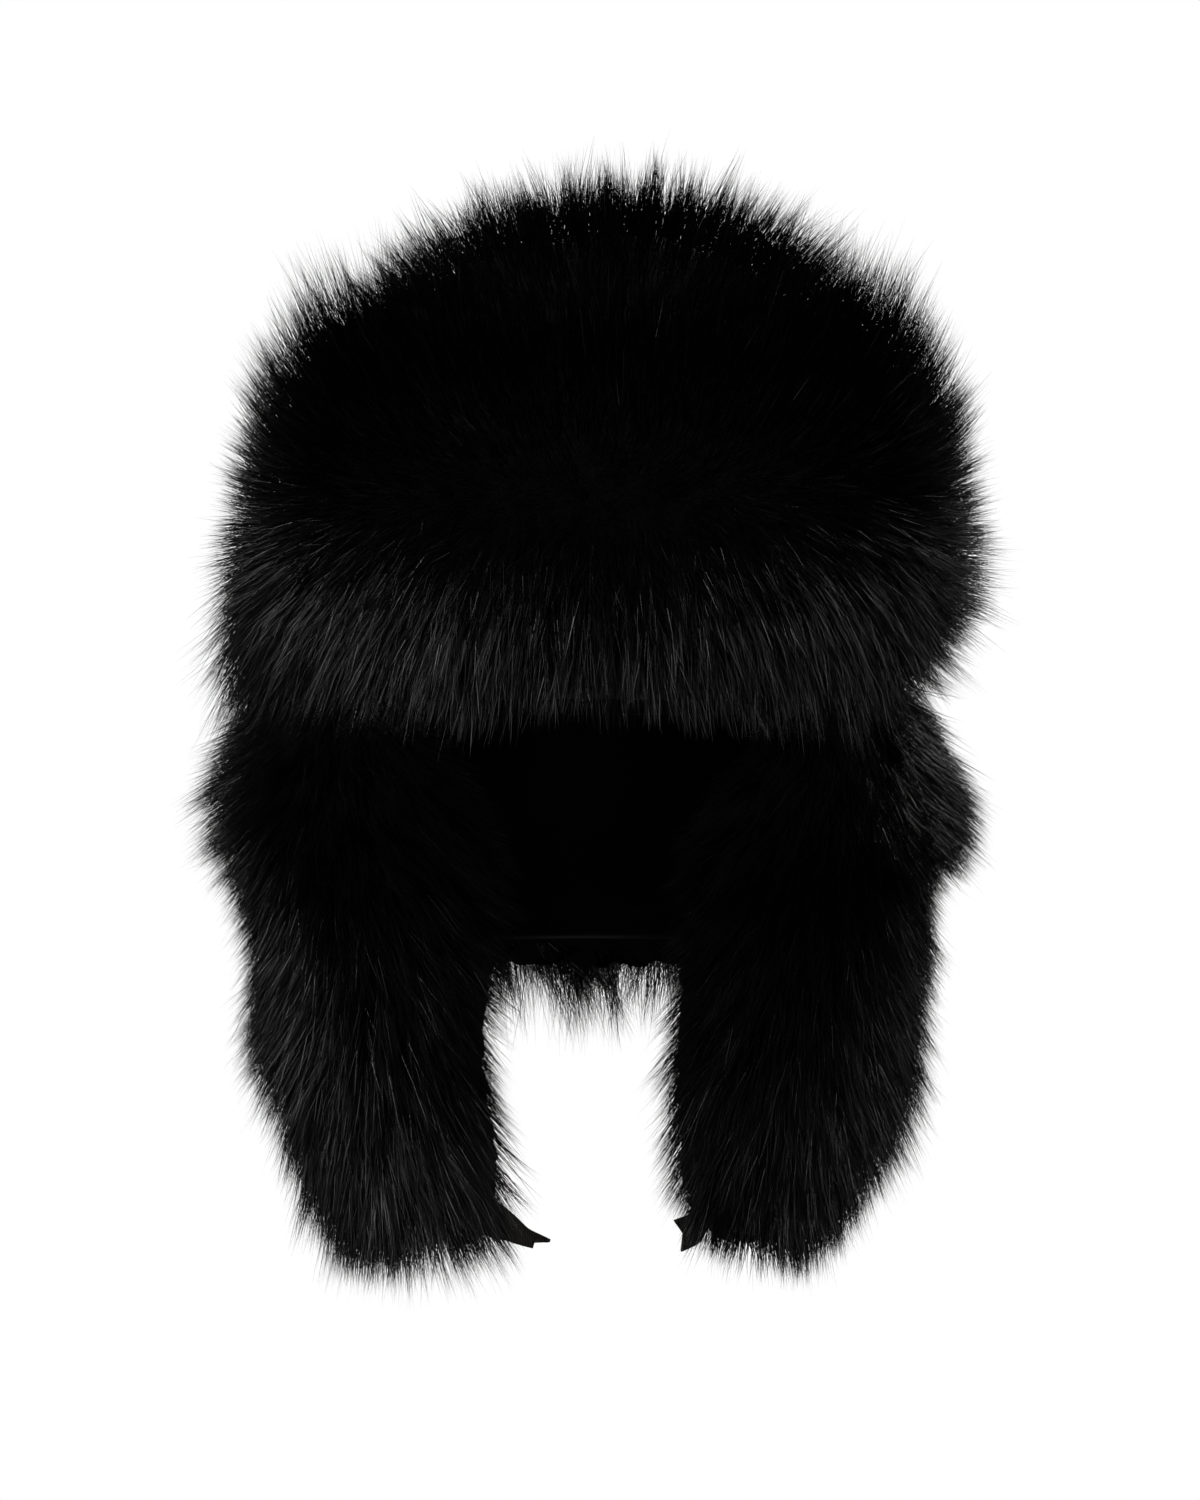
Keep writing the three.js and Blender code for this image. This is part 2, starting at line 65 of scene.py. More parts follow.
frontShape = {
    "end": 78,  # degrees from the middle of the front
    "corner": 30,
    "endShare": 0.75,
    "lipShare": 0.4,  # lower part of the panel, below its fur
    "profile": tableRows(("out", "height"), (3.9, 3), (9.5, 3), (13.5, 8), (14.5, 35), (14, 70), (9, 108)),
}

earColumns = ("height", "halfWidth", "halfDepth", "front", "back", "pile")  # front and back are in degrees
earTip = {"share": 0.16, "width": 0.5}
earNotch = {"height": -60, "halfHeight": 11}  # where an ear flap's pile parts
leftEar = {
    "side": -1,
    "inward": 0.3,  # how far its front edge is combed towards the face
    "notchDepth": 0,
    "rows": tableRows(
        earColumns,
        (-1.1, 82.5, 102.5, 50, 117.6, 65),
        (-45, 95, 103, 33, 117.6, 46),
        (-88, 87, 97, 33, 109, 44),
        (-125, 87, 91, 34, 99, 38),
        (-160, 78, 85, 35, 93, 39),
        (-190, 68, 78, 39, 88, 29),
    ),
}
rightEar = {
    "side": 1,
    "inward": 0.05,
    "notchDepth": 0.2,
    "rows": tableRows(
        earColumns,
        (-0.6, 82.5, 102.5, 47, 117.6, 50),
        (-45, 86, 100, 31, 117.6, 50),
        (-88, 78, 94, 29, 109, 44),
        (-125, 74, 90, 28, 99, 42),
        (-160, 70, 84, 29, 92, 30),
        (-190, 62, 76, 32, 86, 29),
    ),
}

neckShape = {
    "edge": 118,  # degrees from the middle of the front
    "tip": 0.4,
    "tipWidth": 0.8,
    "rows": tableRows(
        ("height", "halfWidth", "halfDepth"),
        (-0.5, 82.5, 102.5),
        (-45, 84, 104),
        (-94, 80, 99),
    ),
}


def mix(a, b, share):
    return a + (b - a) * share


def clamp(value, low=0.0, high=1.0):
    return max(low, min(high, value))


def smooth(value, low, high):
    t = clamp((value - low) / (high - low))
    return t * t * (3 - 2 * t)


def bell(value, middle, halfWidth):
    return math.exp(-(((value - middle) / halfWidth) ** 2))


def scatter(column, row, channel):  # 0 to 1, the same for the same place
    wave = math.sin(column * 12.9898 + row * 78.233 + channel * 37.719) * 43758.5453
    return wave - math.floor(wave)


def wallPoint(angle, halfWidth, halfDepth, height):
    turn = math.radians(angle)
    return Vector((halfWidth * math.sin(turn), -halfDepth * math.cos(turn), height))


def rowAt(rows, share):  # a table's values on a smooth curve through its rows
    last = len(rows) - 1
    place = clamp(share) * last
    index = min(math.floor(place), last - 1)
    t = place - index
    near = [rows[min(max(i, 0), last)] for i in range(index - 1, index + 3)]
    value = {}
    for column in rows[0]:
        p0, p1, p2, p3 = [row[column] for row in near]
        start = (p2 - p0) / 2
        end = (p3 - p1) / 2
        cubic = 2 * p1 - 2 * p2 + start + end
        square = -3 * p1 + 3 * p2 - 2 * start - end
        value[column] = ((cubic * t + square) * t + start) * t + p1
    return value


# Sheets: a point of a wall's inside face, u across and v up, with its way out


def domePoint(around, climb):
    spread = math.cos(climb) ** (2 / crownShape["power"])
    lift = max(math.sin(climb), 0) ** (2 / crownShape["power"])
    return Vector((
        crownShape["halfWidth"] * spread * math.cos(around),
        crownShape["halfDepth"] * spread * math.sin(around),
        crownShape["height"] * lift,
    ))


def domeNormal(point):
    a, b, c = crownShape["halfWidth"], crownShape["halfDepth"], crownShape["height"]
    across = math.hypot(point.x / a, point.y / b)
    sideways = across ** (crownShape["power"] - 2) if across > 0 else 0
    rise = (max(point.z, 0) / c) ** (crownShape["power"] - 1) / c
    return Vector((sideways * point.x / a**2, sideways * point.y / b**2, rise)).normalized()


def crownSheet(u, v):  # a square whose edge is the rim and whose middle is the crown's top
    x, y = 2 * u - 1, 2 * v - 1
    wide = abs(x) > abs(y)
    reach = x if wide else y
    share = 0 if reach == 0 else math.pi / 4 * ((y if wide else x) / reach)
    around = share if wide else math.pi / 2 - share
    if reach < 0:
        around += math.pi
    return domePoint(around, (1 - abs(reach)) * math.pi / 2)


def frontTopShare(angle):
    past = max(0, abs(angle) - frontShape["corner"]) / (frontShape["end"] - frontShape["corner"])
    return 1 - (1 - frontShape["endShare"]) * past**2


def frontSheet(u, v):
    angle = mix(-frontShape["end"], frontShape["end"], u)
    row = rowAt(frontShape["profile"], v)
    lip = frontShape["profile"][0]["height"]
    height = lip + (row["height"] - lip) * frontTopShare(angle)
    halfWidth, halfDepth = crownShape["halfWidth"] + row["out"], crownShape["halfDepth"] + row["out"]
    return wallPoint(angle, halfWidth, halfDepth, height)


def frontFurSheet(u, v):
    return frontSheet(u, mix(frontShape["lipShare"], 1, v))


def roundedWidth(v, tip, tipWidth):
    left = max(0, 1 - v / tip)
    return mix(tipWidth, 1, math.sqrt(1 - left**2))


def fromFront(ear, share):  # an ear flap's u as 0 at its front edge and 1 at its back, or the other way
    return share if ear["side"] > 0 else 1 - share


def earSheet(ear, u, v):
    row = rowAt(ear["rows"], 1 - v)
    width = roundedWidth(v, earTip["share"], earTip["width"])
    middle = (row["front"] + row["back"]) / 2
    angle = middle + (fromFront(ear, u) - 0.5) * (row["back"] - row["front"]) * width
    return wallPoint(ear["side"] * angle, row["halfWidth"], row["halfDepth"], row["height"])


def neckSheet(u, v):
    row = rowAt(neckShape["rows"], 1 - v)
    halfSweep = (180 - neckShape["edge"]) * roundedWidth(v, neckShape["tip"], neckShape["tipWidth"])
    return wallPoint(180 + (2 * u - 1) * halfSweep, row["halfWidth"], row["halfDepth"], row["height"])


def placeOn(sheet, u, v, level=True):
    step = 0.004
    point = sheet(u, v)
    across = sheet(clamp(u + step), v) - sheet(clamp(u - step), v)
    rise = sheet(u, clamp(v + step)) - sheet(u, clamp(v - step))
    if sheet is crownSheet:
        normal = domeNormal(point)
    else:
        normal = across.cross(up if level else rise).normalized()
    across, rise = across.normalized(), rise.normalized()
    return SimpleNamespace(u=u, v=v, point=point, normal=normal, across=across, rise=rise)


def gridPlaces(sheet, columns, rows, level=True):
    for row in range(rows + 1):
        for column in range(columns + 1):
            yield placeOn(sheet, column / columns, row / rows, level)


def gridFaces(columns, rows, closed=False):
    count = columns if closed else columns + 1
    faces = []
    for row in range(rows):
        for column in range(columns):
            a, b = row * count + column, row * count + (column + 1) % count
            faces.append((a, b, b + count, a + count))
    return faces


def backToBack(faces, offset):  # with the same faces on a second grid, turned over
    return faces + [tuple(corner + offset for corner in face[::-1]) for face in faces]


def bandFaces(first, second):  # between two loops of points
    afters = range(-len(first) + 1, 1)
    return [(first[after], first[k], second[k], second[after]) for k, after in enumerate(afters)]


def gridRim(columns, rows):
    rim = list(range(columns))
    rim += [row * (columns + 1) + columns for row in range(rows)]
    rim += [rows * (columns + 1) + column for column in range(columns, 0, -1)]
    return rim + [row * (columns + 1) for row in range(rows, 0, -1)]


def meshFrom(name, points, faces):
    mesh = bpy.data.meshes.new(name)
    mesh.from_pydata([point * metre for point in points], [], faces)
    mesh.polygons.foreach_set("use_smooth", [True] * len(mesh.polygons))
    mesh.update()
    return mesh


def objectFrom(name, data):
    thing = bpy.data.objects.new(name, data)
    bpy.context.scene.collection.objects.link(thing)
    return thing


def pieceFrom(name, mesh, material):
    mesh.materials.append(material)
    return objectFrom(name, mesh)


def finishPiece(piece, node):
    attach(piece, "root")
    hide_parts(node)
    print("ushanka:", piece.name, sum(len(face.vertices) - 2 for face in piece.data.polygons), "triangles")


# Materials


def plugIn(tree, node, inputs):  # links or values for a node's inputs
    for name, value in inputs.items():
        socket = node.inputs[name]
        if isinstance(value, bpy.types.NodeSocket):
            tree.links.new(value, socket)
        elif value is not None:
            socket.default_value = value


def addNode(tree, kind, inputs=None, **settings):
    node = tree.nodes.new(kind)
    for name, value in settings.items():
        setattr(node, name, value)
    plugIn(tree, node, inputs or {})
    return node


def make(tree, kind, inputs=None, **settings):  # a node's first output
    return addNode(tree, kind, inputs, **settings).outputs[0]


def partsOf(tree, vector):
    return addNode(tree, "ShaderNodeSeparateXYZ", {0: vector}).outputs


def calc(tree, operation, *values):
    return make(tree, "ShaderNodeMath", dict(enumerate(values)), operation=operation)


def vectorCalc(tree, operation, *values):
    sockets = (0, "Scale" if operation == "SCALE" else 1)
    node = addNode(tree, "ShaderNodeVectorMath", dict(zip(sockets, values)), operation=operation)
    return node.outputs["Value" if operation == "LENGTH" else "Vector"]


def easeBetween(tree, value, fromRange, toRange):
    inputs = dict(zip(("Value", "From Min", "From Max", "To Min", "To Max"), (value, *fromRange, *toRange)))
    return make(tree, "ShaderNodeMapRange", inputs, interpolation_type="SMOOTHSTEP")


def newMaterial(name, roughness, specular, paint):  # paint gives the shader's further inputs
    material = bpy.data.materials.new(name)
    material.use_nodes = True
    tree = material.node_tree
    shader = tree.nodes["Principled BSDF"]
    plugIn(tree, shader, {"Roughness": roughness, "Specular IOR Level": specular})
    plugIn(tree, shader, paint(tree))
    return material


def objectPlace(tree):
    return addNode(tree, "ShaderNodeTexCoord").outputs["Object"]


def noiseOf(tree, inputs, **settings):
    return make(tree, "ShaderNodeTexNoise", inputs, **settings)


def wavesOf(tree, scale):
    inputs = {"Vector": objectPlace(tree), "Scale": scale}
    return addNode(tree, "ShaderNodeTexWave", inputs, bands_direction="DIAGONAL").outputs["Fac"]


def bumpOf(tree, height, strength, distance, under=None):
    inputs = {"Height": height, "Strength": strength, "Distance": distance, "Normal": under}
    return make(tree, "ShaderNodeBump", inputs)


def colourRamp(tree, value, stops):  # each stop has a place, a grey and a cool tint
    ramp = addNode(tree, "ShaderNodeValToRGB", {"Fac": value})
    points = ramp.color_ramp.elements
    while len(points) < len(stops):
        points.new(0.5)
    for point, (place, grey, tint) in zip(points, stops):
        point.position = place
        point.color = (grey, grey * (1 + tint / 2), grey * (1 + tint), 1)
    return ramp.outputs["Color"]


furLook = {
    "rootGrey": 0.0008,
    "bodyGrey": 0.0017,
    "tipGrey": 0.0034,
    "coolTint": 0.05,
    "toneScale": 260,
    "toneSpread": 1.5,
    "roughness": 0.36,
    "roughSpread": 0.22,
    "specular": 0.6,
    "dullSpecular": 0.03,
    "crownShadeDullness": 0.96,  # share of dull hairs over the crown: painted shade, as without glints the crown's top looks unlit
    "dullHeights": (0.04, 0.11),  # metres up, where they set in
    "dullSides": (0.08, 0.12),  # metres from the middle, where they thin out
}


def furHairPaint(tree):  # its map runs from tone to tone across and from root to tip upwards
    parts = partsOf(tree, make(tree, "ShaderNodeUVMap", uv_map="OFBake"))
    alongHair = colourRamp(tree, parts["Y"], [
        (0.0, furLook["rootGrey"], 0),
        (0.45, furLook["bodyGrey"], furLook["coolTint"] / 2),
        (1.0, furLook["tipGrey"], furLook["coolTint"]),
    ])
    noise = noiseOf(tree, {"W": parts["X"], "Scale": furLook["toneScale"]}, noise_dimensions="1D")
    spread, roughSpread = furLook["toneSpread"], furLook["roughSpread"]
    tone = calc(tree, "MULTIPLY_ADD", noise, spread, 1 - spread / 2)
    return {
        "Base Color": vectorCalc(tree, "SCALE", alongHair, tone),
        "Roughness": calc(tree, "MULTIPLY_ADD", noise, roughSpread, furLook["roughness"] - roughSpread / 2),
    }


undercoatLook = {"darkGrey": 0.0012, "lightGrey": 0.0045, "tuftScale": 420, "bump": 0.002}


def undercoatPaint(tree):
    tufts = noiseOf(tree, {"Vector": objectPlace(tree), "Scale": undercoatLook["tuftScale"], "Detail": 6})
    stops = [(0.3, undercoatLook["darkGrey"], 0), (0.75, undercoatLook["lightGrey"], 0.05)]
    return {
        "Base Color": colourRamp(tree, tufts, stops),
        "Normal": bumpOf(tree, tufts, 0.8, undercoatLook["bump"]),
    }


glossyFurHair = newMaterial("glossyFurHair", furLook["roughness"], furLook["specular"], furHairPaint)
# The dull copy of the hair has its glints taken out. It is painted shade: it keeps the top of the crown and
# of the front flap dark, where the lamps would make the hair glint.
shadedDullFurHair = newMaterial("shadedDullFurHair", furLook["roughness"], furLook["dullSpecular"], furHairPaint)
denseUndercoat = newMaterial("denseUndercoat", 0.8, 0.12, undercoatPaint)
print("ushanka: fur materials made")


# Fur. Each coat is a sheet at part of the pile's height, with the way its hair grows kept on its points,
# and Geometry Nodes grow the hair from it in pointed locks.

furCut = {
    "coreShare": 0.58,  # height of the coat's core, as a part of the pile
    "combedRoot": 0.38,  # how far the comb draws a hair's root back
    "sweepBack": 0.24,  # how far against its lean a hair is rooted, as a part of the pile
    "combedTip": 0.35,  # how much of the combing moves the tip, the rest moves the root
    "liftLean": 0.35,  # how much of the lean its first rise has
    "coreUneven": 0.25,
}

# Pile is in mm; lean, comb and the shares are parts of it
crownCoat = {
    "pile": 44,
    "pressed": (7.5, 17),  # under the front flap, low down and high up
    "notchShare": 0.68,  # low on the right
    "backShare": 0.9,
    "crestShare": (0.95, 1.05),  # left and right of the top
    "lean": 0.4,
    "comb": 0.55,
}
frontCoat = {  # its right shoulder stands higher than its left, and its right foot is pressed
    "pile": 42,
    "footShare": (0.72, 0.5),
    "middleFoot": 0.95,
    "pressedFoot": 0.5,
    "shoulderShare": (1.15, 1.26),
    "cornerShare": (0.98, 1.03),
    "fall": (0.42, 1),  # at the middle and at the ends
    "comb": (0.8, 1.25),
    "tuft": {"aside": 0.52, "halfWidth": 0.13, "comb": 1.1},
}
earCoat = {
    "innerFoot": 0.85,  # share left at the foot's inner corner
    "towardFace": 1.5,
    "towardBack": 0.35,
    "fall": (0.95, 0.15),  # at the foot and at the rim
    "comb": (0.75, 0.45),
}
neckCoat = {
    "pile": 38,
    "fall": (0.95, 0.3),
    "comb": (1.5, 0.5),
    "tuft": {"x": -15, "halfWidth": 22, "comb": 0.6},  # the fringe hangs lowest left of the middle
}


def underFrontFlap(point):  # 1 where the turned-up front lies over the crown
    angle = abs(math.degrees(math.atan2(point.x, -point.y)))
    top = frontShape["profile"][-1]["height"] * frontTopShare(min(angle, frontShape["end"]))
    past = smooth(angle, frontShape["end"] - 2, frontShape["end"] + 7)
    return (1 - past) * (1 - smooth(point.z, top - 10, top + 6))


def crownPile(place):
    point = place.point
    pressed = mix(*crownCoat["pressed"], smooth(point.z, 50, 110))
    notch = smooth(point.x, 55, 80) * (1 - smooth(point.z, 15, 40))
    behind = mix(1, crownCoat["backShare"], smooth(point.y, 20, 90))
    crest = mix(*crownCoat["crestShare"], smooth(point.x, -20, 50))
    pile = mix(crownCoat["pile"], pressed, underFrontFlap(point))
    return pile * mix(1, crownCoat["notchShare"], notch) * behind * crest


def crownFall(amount, low, high, place):
    point = place.point
    return up * (-amount * (1 - smooth(point.z, low, high)) * (1 - underFrontFlap(point)))


crownLean = partial(crownFall, crownCoat["lean"], 10, 110)
crownComb = partial(crownFall, crownCoat["comb"], 20, 125)


def frontPile(place):
    u, v, aside = place.u, place.v, 2 * place.u - 1
    right, fromMiddle = smooth(aside, -0.1, 0.1), abs(aside)
    foot = mix(*frontCoat["footShare"], smooth(u, 0.6, 0.9))
    foot *= mix(frontCoat["middleFoot"], 1, smooth(fromMiddle, 0.1, 0.5))
    foot *= mix(1, frontCoat["pressedFoot"], smooth(aside, 0.7, 0.92))
    footTop = mix(0.4, 0.58, smooth(aside, 0.75, 0.95))
    shoulder = smooth(fromMiddle, 0.25, 0.45) * (1 - smooth(fromMiddle, 0.55, 0.75)) * smooth(v, 0.6, 1)
    corner = smooth(fromMiddle, 0.55, 0.9) * smooth(v, 0.5, 1)
    crest = mix(1, mix(*frontCoat["shoulderShare"], right), shoulder)
    crest *= mix(1, mix(*frontCoat["cornerShare"], right), corner)
    return frontCoat["pile"] * mix(foot, 1, smooth(v, 0, footTop)) * crest


def frontLean(place):
    aside = 2 * place.u - 1
    fall = (1 - smooth(place.v, 0, 0.55)) * mix(*frontCoat["fall"], abs(aside))
    fall *= mix(1, 0.35, smooth(aside, 0.6, 0.9))
    crest = smooth(place.v, 0.5, 1) * mix(0.95, 0.8, aside**2)
    return place.rise * (crest - fall) + place.across * (0.75 * aside**5)


def frontComb(place):
    v, aside, tuft = place.v, 2 * place.u - 1, frontCoat["tuft"]
    foot = mix(*frontCoat["comb"], abs(aside)) * mix(1, 0.15, smooth(aside, 0.7, 0.9))
    foot += tuft["comb"] * bell(aside, tuft["aside"], tuft["halfWidth"]) * (1 - smooth(v, 0.1, 0.4))
    return place.rise * (0.35 * smooth(v, 0.7, 1) - foot * (1 - smooth(v, 0.1, 0.8)))


def edgeShare(distance):
    return mix(0.62, 1, smooth(distance, 0, 0.2))


def rimShare(v):
    return mix(1, 0.75, smooth(v, 0.82, 1))


def earPile(ear, place):
    u, v = place.u, place.v
    innerFoot = mix(earCoat["innerFoot"], 1, smooth(fromFront(ear, u) + v * 4, 0.3, 0.9))
    parted = 1 - ear["notchDepth"] * bell(place.point.z, earNotch["height"], earNotch["halfHeight"])
    pile = rowAt(ear["rows"], 1 - v)["pile"] * parted
    return pile * edgeShare(min(u, 1 - u, v + 0.05) * 1.6) * rimShare(v) * innerFoot


def earLean(ear, place):
    back = fromFront(ear, place.u)
    towardFace = (1 - smooth(back, 0, 0.5)) * earCoat["towardFace"]
    towardBack = smooth(back, 0.6, 1) * earCoat["towardBack"]
    fall = mix(*earCoat["fall"], smooth(place.v, 0, 1))
    return place.across * (ear["side"] * (towardBack - towardFace)) - place.rise * fall


def earComb(ear, place):
    back, v = fromFront(ear, place.u), place.v
    inward = place.across * (ear["side"] * -ear["inward"] * (1 - smooth(back, 0, 0.35)))
    atFoot = mix(0.35, 1, smooth(back + v * 3, 0.05, 0.6))  # short at the foot's inner corner
    return inward - place.rise * mix(*earCoat["comb"], smooth(v, 0, 0.8)) * atFoot


def neckPile(place):
    return neckCoat["pile"] * edgeShare(place.v) * rimShare(place.v)


def neckLean(place):
    return place.rise * -mix(*neckCoat["fall"], smooth(place.v, 0, 0.7))


def neckComb(place):
    (low, high), tuft = neckCoat["comb"], neckCoat["tuft"]
    low += tuft["comb"] * bell(place.point.x, tuft["x"], tuft["halfWidth"])
    return place.rise * -mix(low, high, smooth(place.v, 0, 0.5))


# How thickly a coat grows: most along the edges that show against the light


def crownCover(place):  # hardly any hair where the front flap hides it
    return mix(1, 0.05, underFrontFlap(place.point))


def frontCover(place):
    return 1 + 0.8 * (1 - smooth(place.v, 0, 0.12)) + 0.5 * smooth(place.v, 0.85, 1)


def earCover(ear, place):
    inner = 1 - smooth(fromFront(ear, place.u), 0, 0.14)
    return 1 + 2.2 * inner + 1.2 * (1 - smooth(place.v, 0, 0.08))


def neckCover(place):
    return 1 + 5 * (1 - smooth(place.v, 0, 0.1))


def coatPoint(place, lean, height):
    return place.point + place.normal * (crownShape["furSeat"] + height) + lean * height


def coatGrid(fur, share, uneven=0.0):  # points of the coat at a share of the pile's height
    points = []
    for index, place in enumerate(gridPlaces(fur["sheet"], *fur["grid"])):
        row, column = divmod(index, fur["grid"][0] + 1)
        height = fur["pile"](place) * share * (1 + uneven * (scatter(column, row, 5) - 0.5))
        points.append(coatPoint(place, fur["lean"](place), height))
    return points


def undercoatPiece(fur):
    outer, inner = coatGrid(fur, furCut["coreShare"], furCut["coreUneven"]), coatGrid(fur, 0)
    faces, rim = backToBack(gridFaces(*fur["grid"]), len(outer)), gridRim(*fur["grid"])
    faces += bandFaces(rim, [corner + len(outer) for corner in rim])
    name = fur["name"] + "_undercoat"
    return pieceFrom(name, meshFrom(name, outer + inner, faces), denseUndercoat)


def keepOnPoints(mesh, name, vectors):
    flat = [c for vector in vectors for c in vector]
    mesh.attributes.new(name, "FLOAT_VECTOR", "POINT").data.foreach_set("vector", flat)


def coatMesh(fur):  # the sheet that the hair grows from, with its growth kept on the points
    points, reach, lift, back, cover = [], [], [], [], []
    for place in gridPlaces(fur["sheet"], *fur["grid"]):
        pile, lean, comb = fur["pile"](place), fur["lean"](place), fur["comb"](place)
        low = pile * furCut["coreShare"]
        tip = pile * fur["tipShare"]  # height of the longest tips
        points.append(coatPoint(place, lean, low))
        reach.append(((place.normal + lean) * (tip - low) + comb * (pile * furCut["combedTip"])) * metre)
        lift.append((place.normal + lean * furCut["liftLean"]).normalized())
        back.append((lean * furCut["sweepBack"] + comb * furCut["combedRoot"]) * (-pile * metre))
        cover.append(fur["cover"](place))
    mesh = meshFrom(fur["name"] + "_coat", points, gridFaces(*fur["grid"]))
    for name, vectors in (("reach", reach), ("lift", lift), ("back", back)):
        keepOnPoints(mesh, name, vectors)
    mesh.attributes.new("cover", "FLOAT", "POINT").data.foreach_set("value", cover)
    return mesh, sum(face.area * sum(cover[i] for i in face.vertices) / 4 for face in mesh.polygons)


def newTree(name, inputs, output):  # inputs are lists of names by kind
    tree = bpy.data.node_groups.new(name, "GeometryNodeTree")
    for kind, labels in inputs.items():
        for label in labels:
            tree.interface.new_socket(label, in_out="INPUT", socket_type="NodeSocket" + kind)
    tree.interface.new_socket(output, in_out="OUTPUT", socket_type="NodeSocketGeometry")
    return tree, addNode(tree, "NodeGroupInput").outputs


hairForm = {
    "lockDensity": 90000,  # most locks on a square metre
    "lockLength": (0.88, 1.14),
    "pull": (0.72, 1.08),
    "length": (0.76, 1.0),
    "sweep": (0.45, 1.1),
    "strayRelease": 0.75,  # how much of the pull a stray hair is free of
    "strayRuffle": 0.12,
    "strayLength": 0.05,
    "sink": 0.15,  # how deep a hair is rooted in the core, as a part of its length
    "bend": 0.5,
    "arch": 0.22,
    "wave": 0.12,
    "taper": 2.4,
    "toneOfLock": 0.6,
    "toneOfHair": 0.38,
}


def growHairTree():
    tree, given = newTree("growFurLocks", {
        "Geometry": ["Coat"],
        "Float": [
            "Hair Density", "Lock Distance", "Hair Width", "Lock Pull", "Lock Spread", "Stray Share",
            "Ruffle", "Buried Share",
        ],
        "Int": ["Bends", "Seed"],
        "Material": ["Glossy Hair", "Shaded Dull Hair"],
    }, "Hair")
    node, number, vector = partial(make, tree), partial(calc, tree), partial(vectorCalc, tree)

    def times(a, b):
        return number("MULTIPLY", a, b)

    def plus(a, b):
        return vector("ADD", a, b)

    def scaled(a, share):
        return vector("SCALE", a, share)

    def blend(a, b, share):
        return plus(a, scaled(vector("SUBTRACT", b, a), share))

    def kept(name, kind="FLOAT_VECTOR"):
        return node("GeometryNodeInputNamedAttribute", {"Name": name}, data_type=kind)

    def keep(geometry, name, value, kind="FLOAT_VECTOR", domain="POINT"):
        inputs = {"Geometry": geometry, "Name": name, "Value": value}
        return node("GeometryNodeStoreNamedAttribute", inputs, data_type=kind, domain=domain)

    def randomOf(low, high, channel, identity=None):
        isVector = isinstance(low, tuple)
        lowSocket, highSocket, out = (0, 1, 0) if isVector else (2, 3, 1)
        seed = number("ADD", given["Seed"], channel)
        inputs = {lowSocket: low, highSocket: high, "ID": identity, "Seed": seed}
        kind = "FLOAT_VECTOR" if isVector else "FLOAT"
        return addNode(tree, "FunctionNodeRandomValue", inputs, data_type=kind).outputs[out]

    def anyWay(channel, identity=None):
        return randomOf((-1, -1, -1), (1, 1, 1), channel, identity)

    # Hair roots, and the middle of each lock
    points = node("GeometryNodeDistributePointsOnFaces", {
        "Mesh": given["Coat"],
        "Density": times(kept("cover", "FLOAT"), given["Hair Density"]),
        "Seed": given["Seed"],
    }, distribute_method="RANDOM")
    locks = node("GeometryNodeDistributePointsOnFaces", {
        "Mesh": given["Coat"],
        "Distance Min": given["Lock Distance"],
        "Density Max": hairForm["lockDensity"],
        "Seed": number("ADD", given["Seed"], 1),
    }, distribute_method="POISSON")
    place = node("GeometryNodeInputPosition")
    nearest = {"Geometry": locks, "Sample Position": place}
    lockIndex = node("GeometryNodeSampleNearest", nearest, domain="POINT")

    def ofLock(value):
        inputs = {"Geometry": locks, "Value": value, "Index": lockIndex}
        return node("GeometryNodeSampleIndex", inputs, data_type="FLOAT_VECTOR", domain="POINT")

    reach, lift = kept("reach"), kept("lift")
    lockAt, lockReach = ofLock(place), ofLock(reach)
    wander = scaled(anyWay(2, lockIndex), times(vector("LENGTH", lockReach), given["Lock Spread"]))
    lockTip = plus(lockAt, scaled(plus(lockReach, wander), randomOf(*hairForm["lockLength"], 3, lockIndex)))

    # A stray hair keeps its own way; the rest are drawn towards their lock's tip
    stray = number("LESS_THAN", randomOf(0.0, 1.0, 4), given["Stray Share"])
    pull = times(given["Lock Pull"], randomOf(*hairForm["pull"], 5))
    pull = times(pull, number("SUBTRACT", 1.0, times(stray, hairForm["strayRelease"])))
    size = vector("LENGTH", reach)
    jitter = times(size, number("MULTIPLY_ADD", stray, hairForm["strayRuffle"], given["Ruffle"]))
    tip = plus(blend(plus(place, reach), lockTip, pull), scaled(anyWay(6), jitter))
    hairLength = number("ADD", randomOf(*hairForm["length"], 7), times(stray, hairForm["strayLength"]))
    tip = blend(place, tip, hairLength)
    root = plus(place, scaled(kept("back"), randomOf(*hairForm["sweep"], 11)))
    root = vector("SUBTRACT", root, scaled(lift, times(size, hairForm["sink"])))
    bend = plus(blend(root, tip, hairForm["bend"]), scaled(lift, times(size, hairForm["arch"])))
    bend = plus(bend, scaled(anyWay(12), times(size, hairForm["wave"])))
    root = blend(root, bend, given["Buried Share"])
    toneOfLock = times(randomOf(0.0, 1.0, 8, lockIndex), hairForm["toneOfLock"])
    tone = number("ADD", toneOfLock, randomOf(0.0, hairForm["toneOfHair"], 9))

    for name, value in (("rootAt", root), ("bendAt", bend), ("tipAt", tip), ("spin", anyWay(10))):
        points = keep(points, name, value)
    points = keep(points, "tone", tone, "FLOAT")
    at = partsOf(tree, place)
    # Painted shade: high up, and less towards the sides, most hairs take the dull copy, which doesn't glint
    shadeDullShare = times(
        easeBetween(tree, at["Z"], furLook["dullHeights"], (0.0, furLook["crownShadeDullness"])),
        easeBetween(tree, number("ABSOLUTE", at["X"]), furLook["dullSides"], (1.0, 0.3)),
    )
    points = keep(points, "dull", number("LESS_THAN", randomOf(0.0, 1.0, 13), shadeDullShare), "FLOAT")

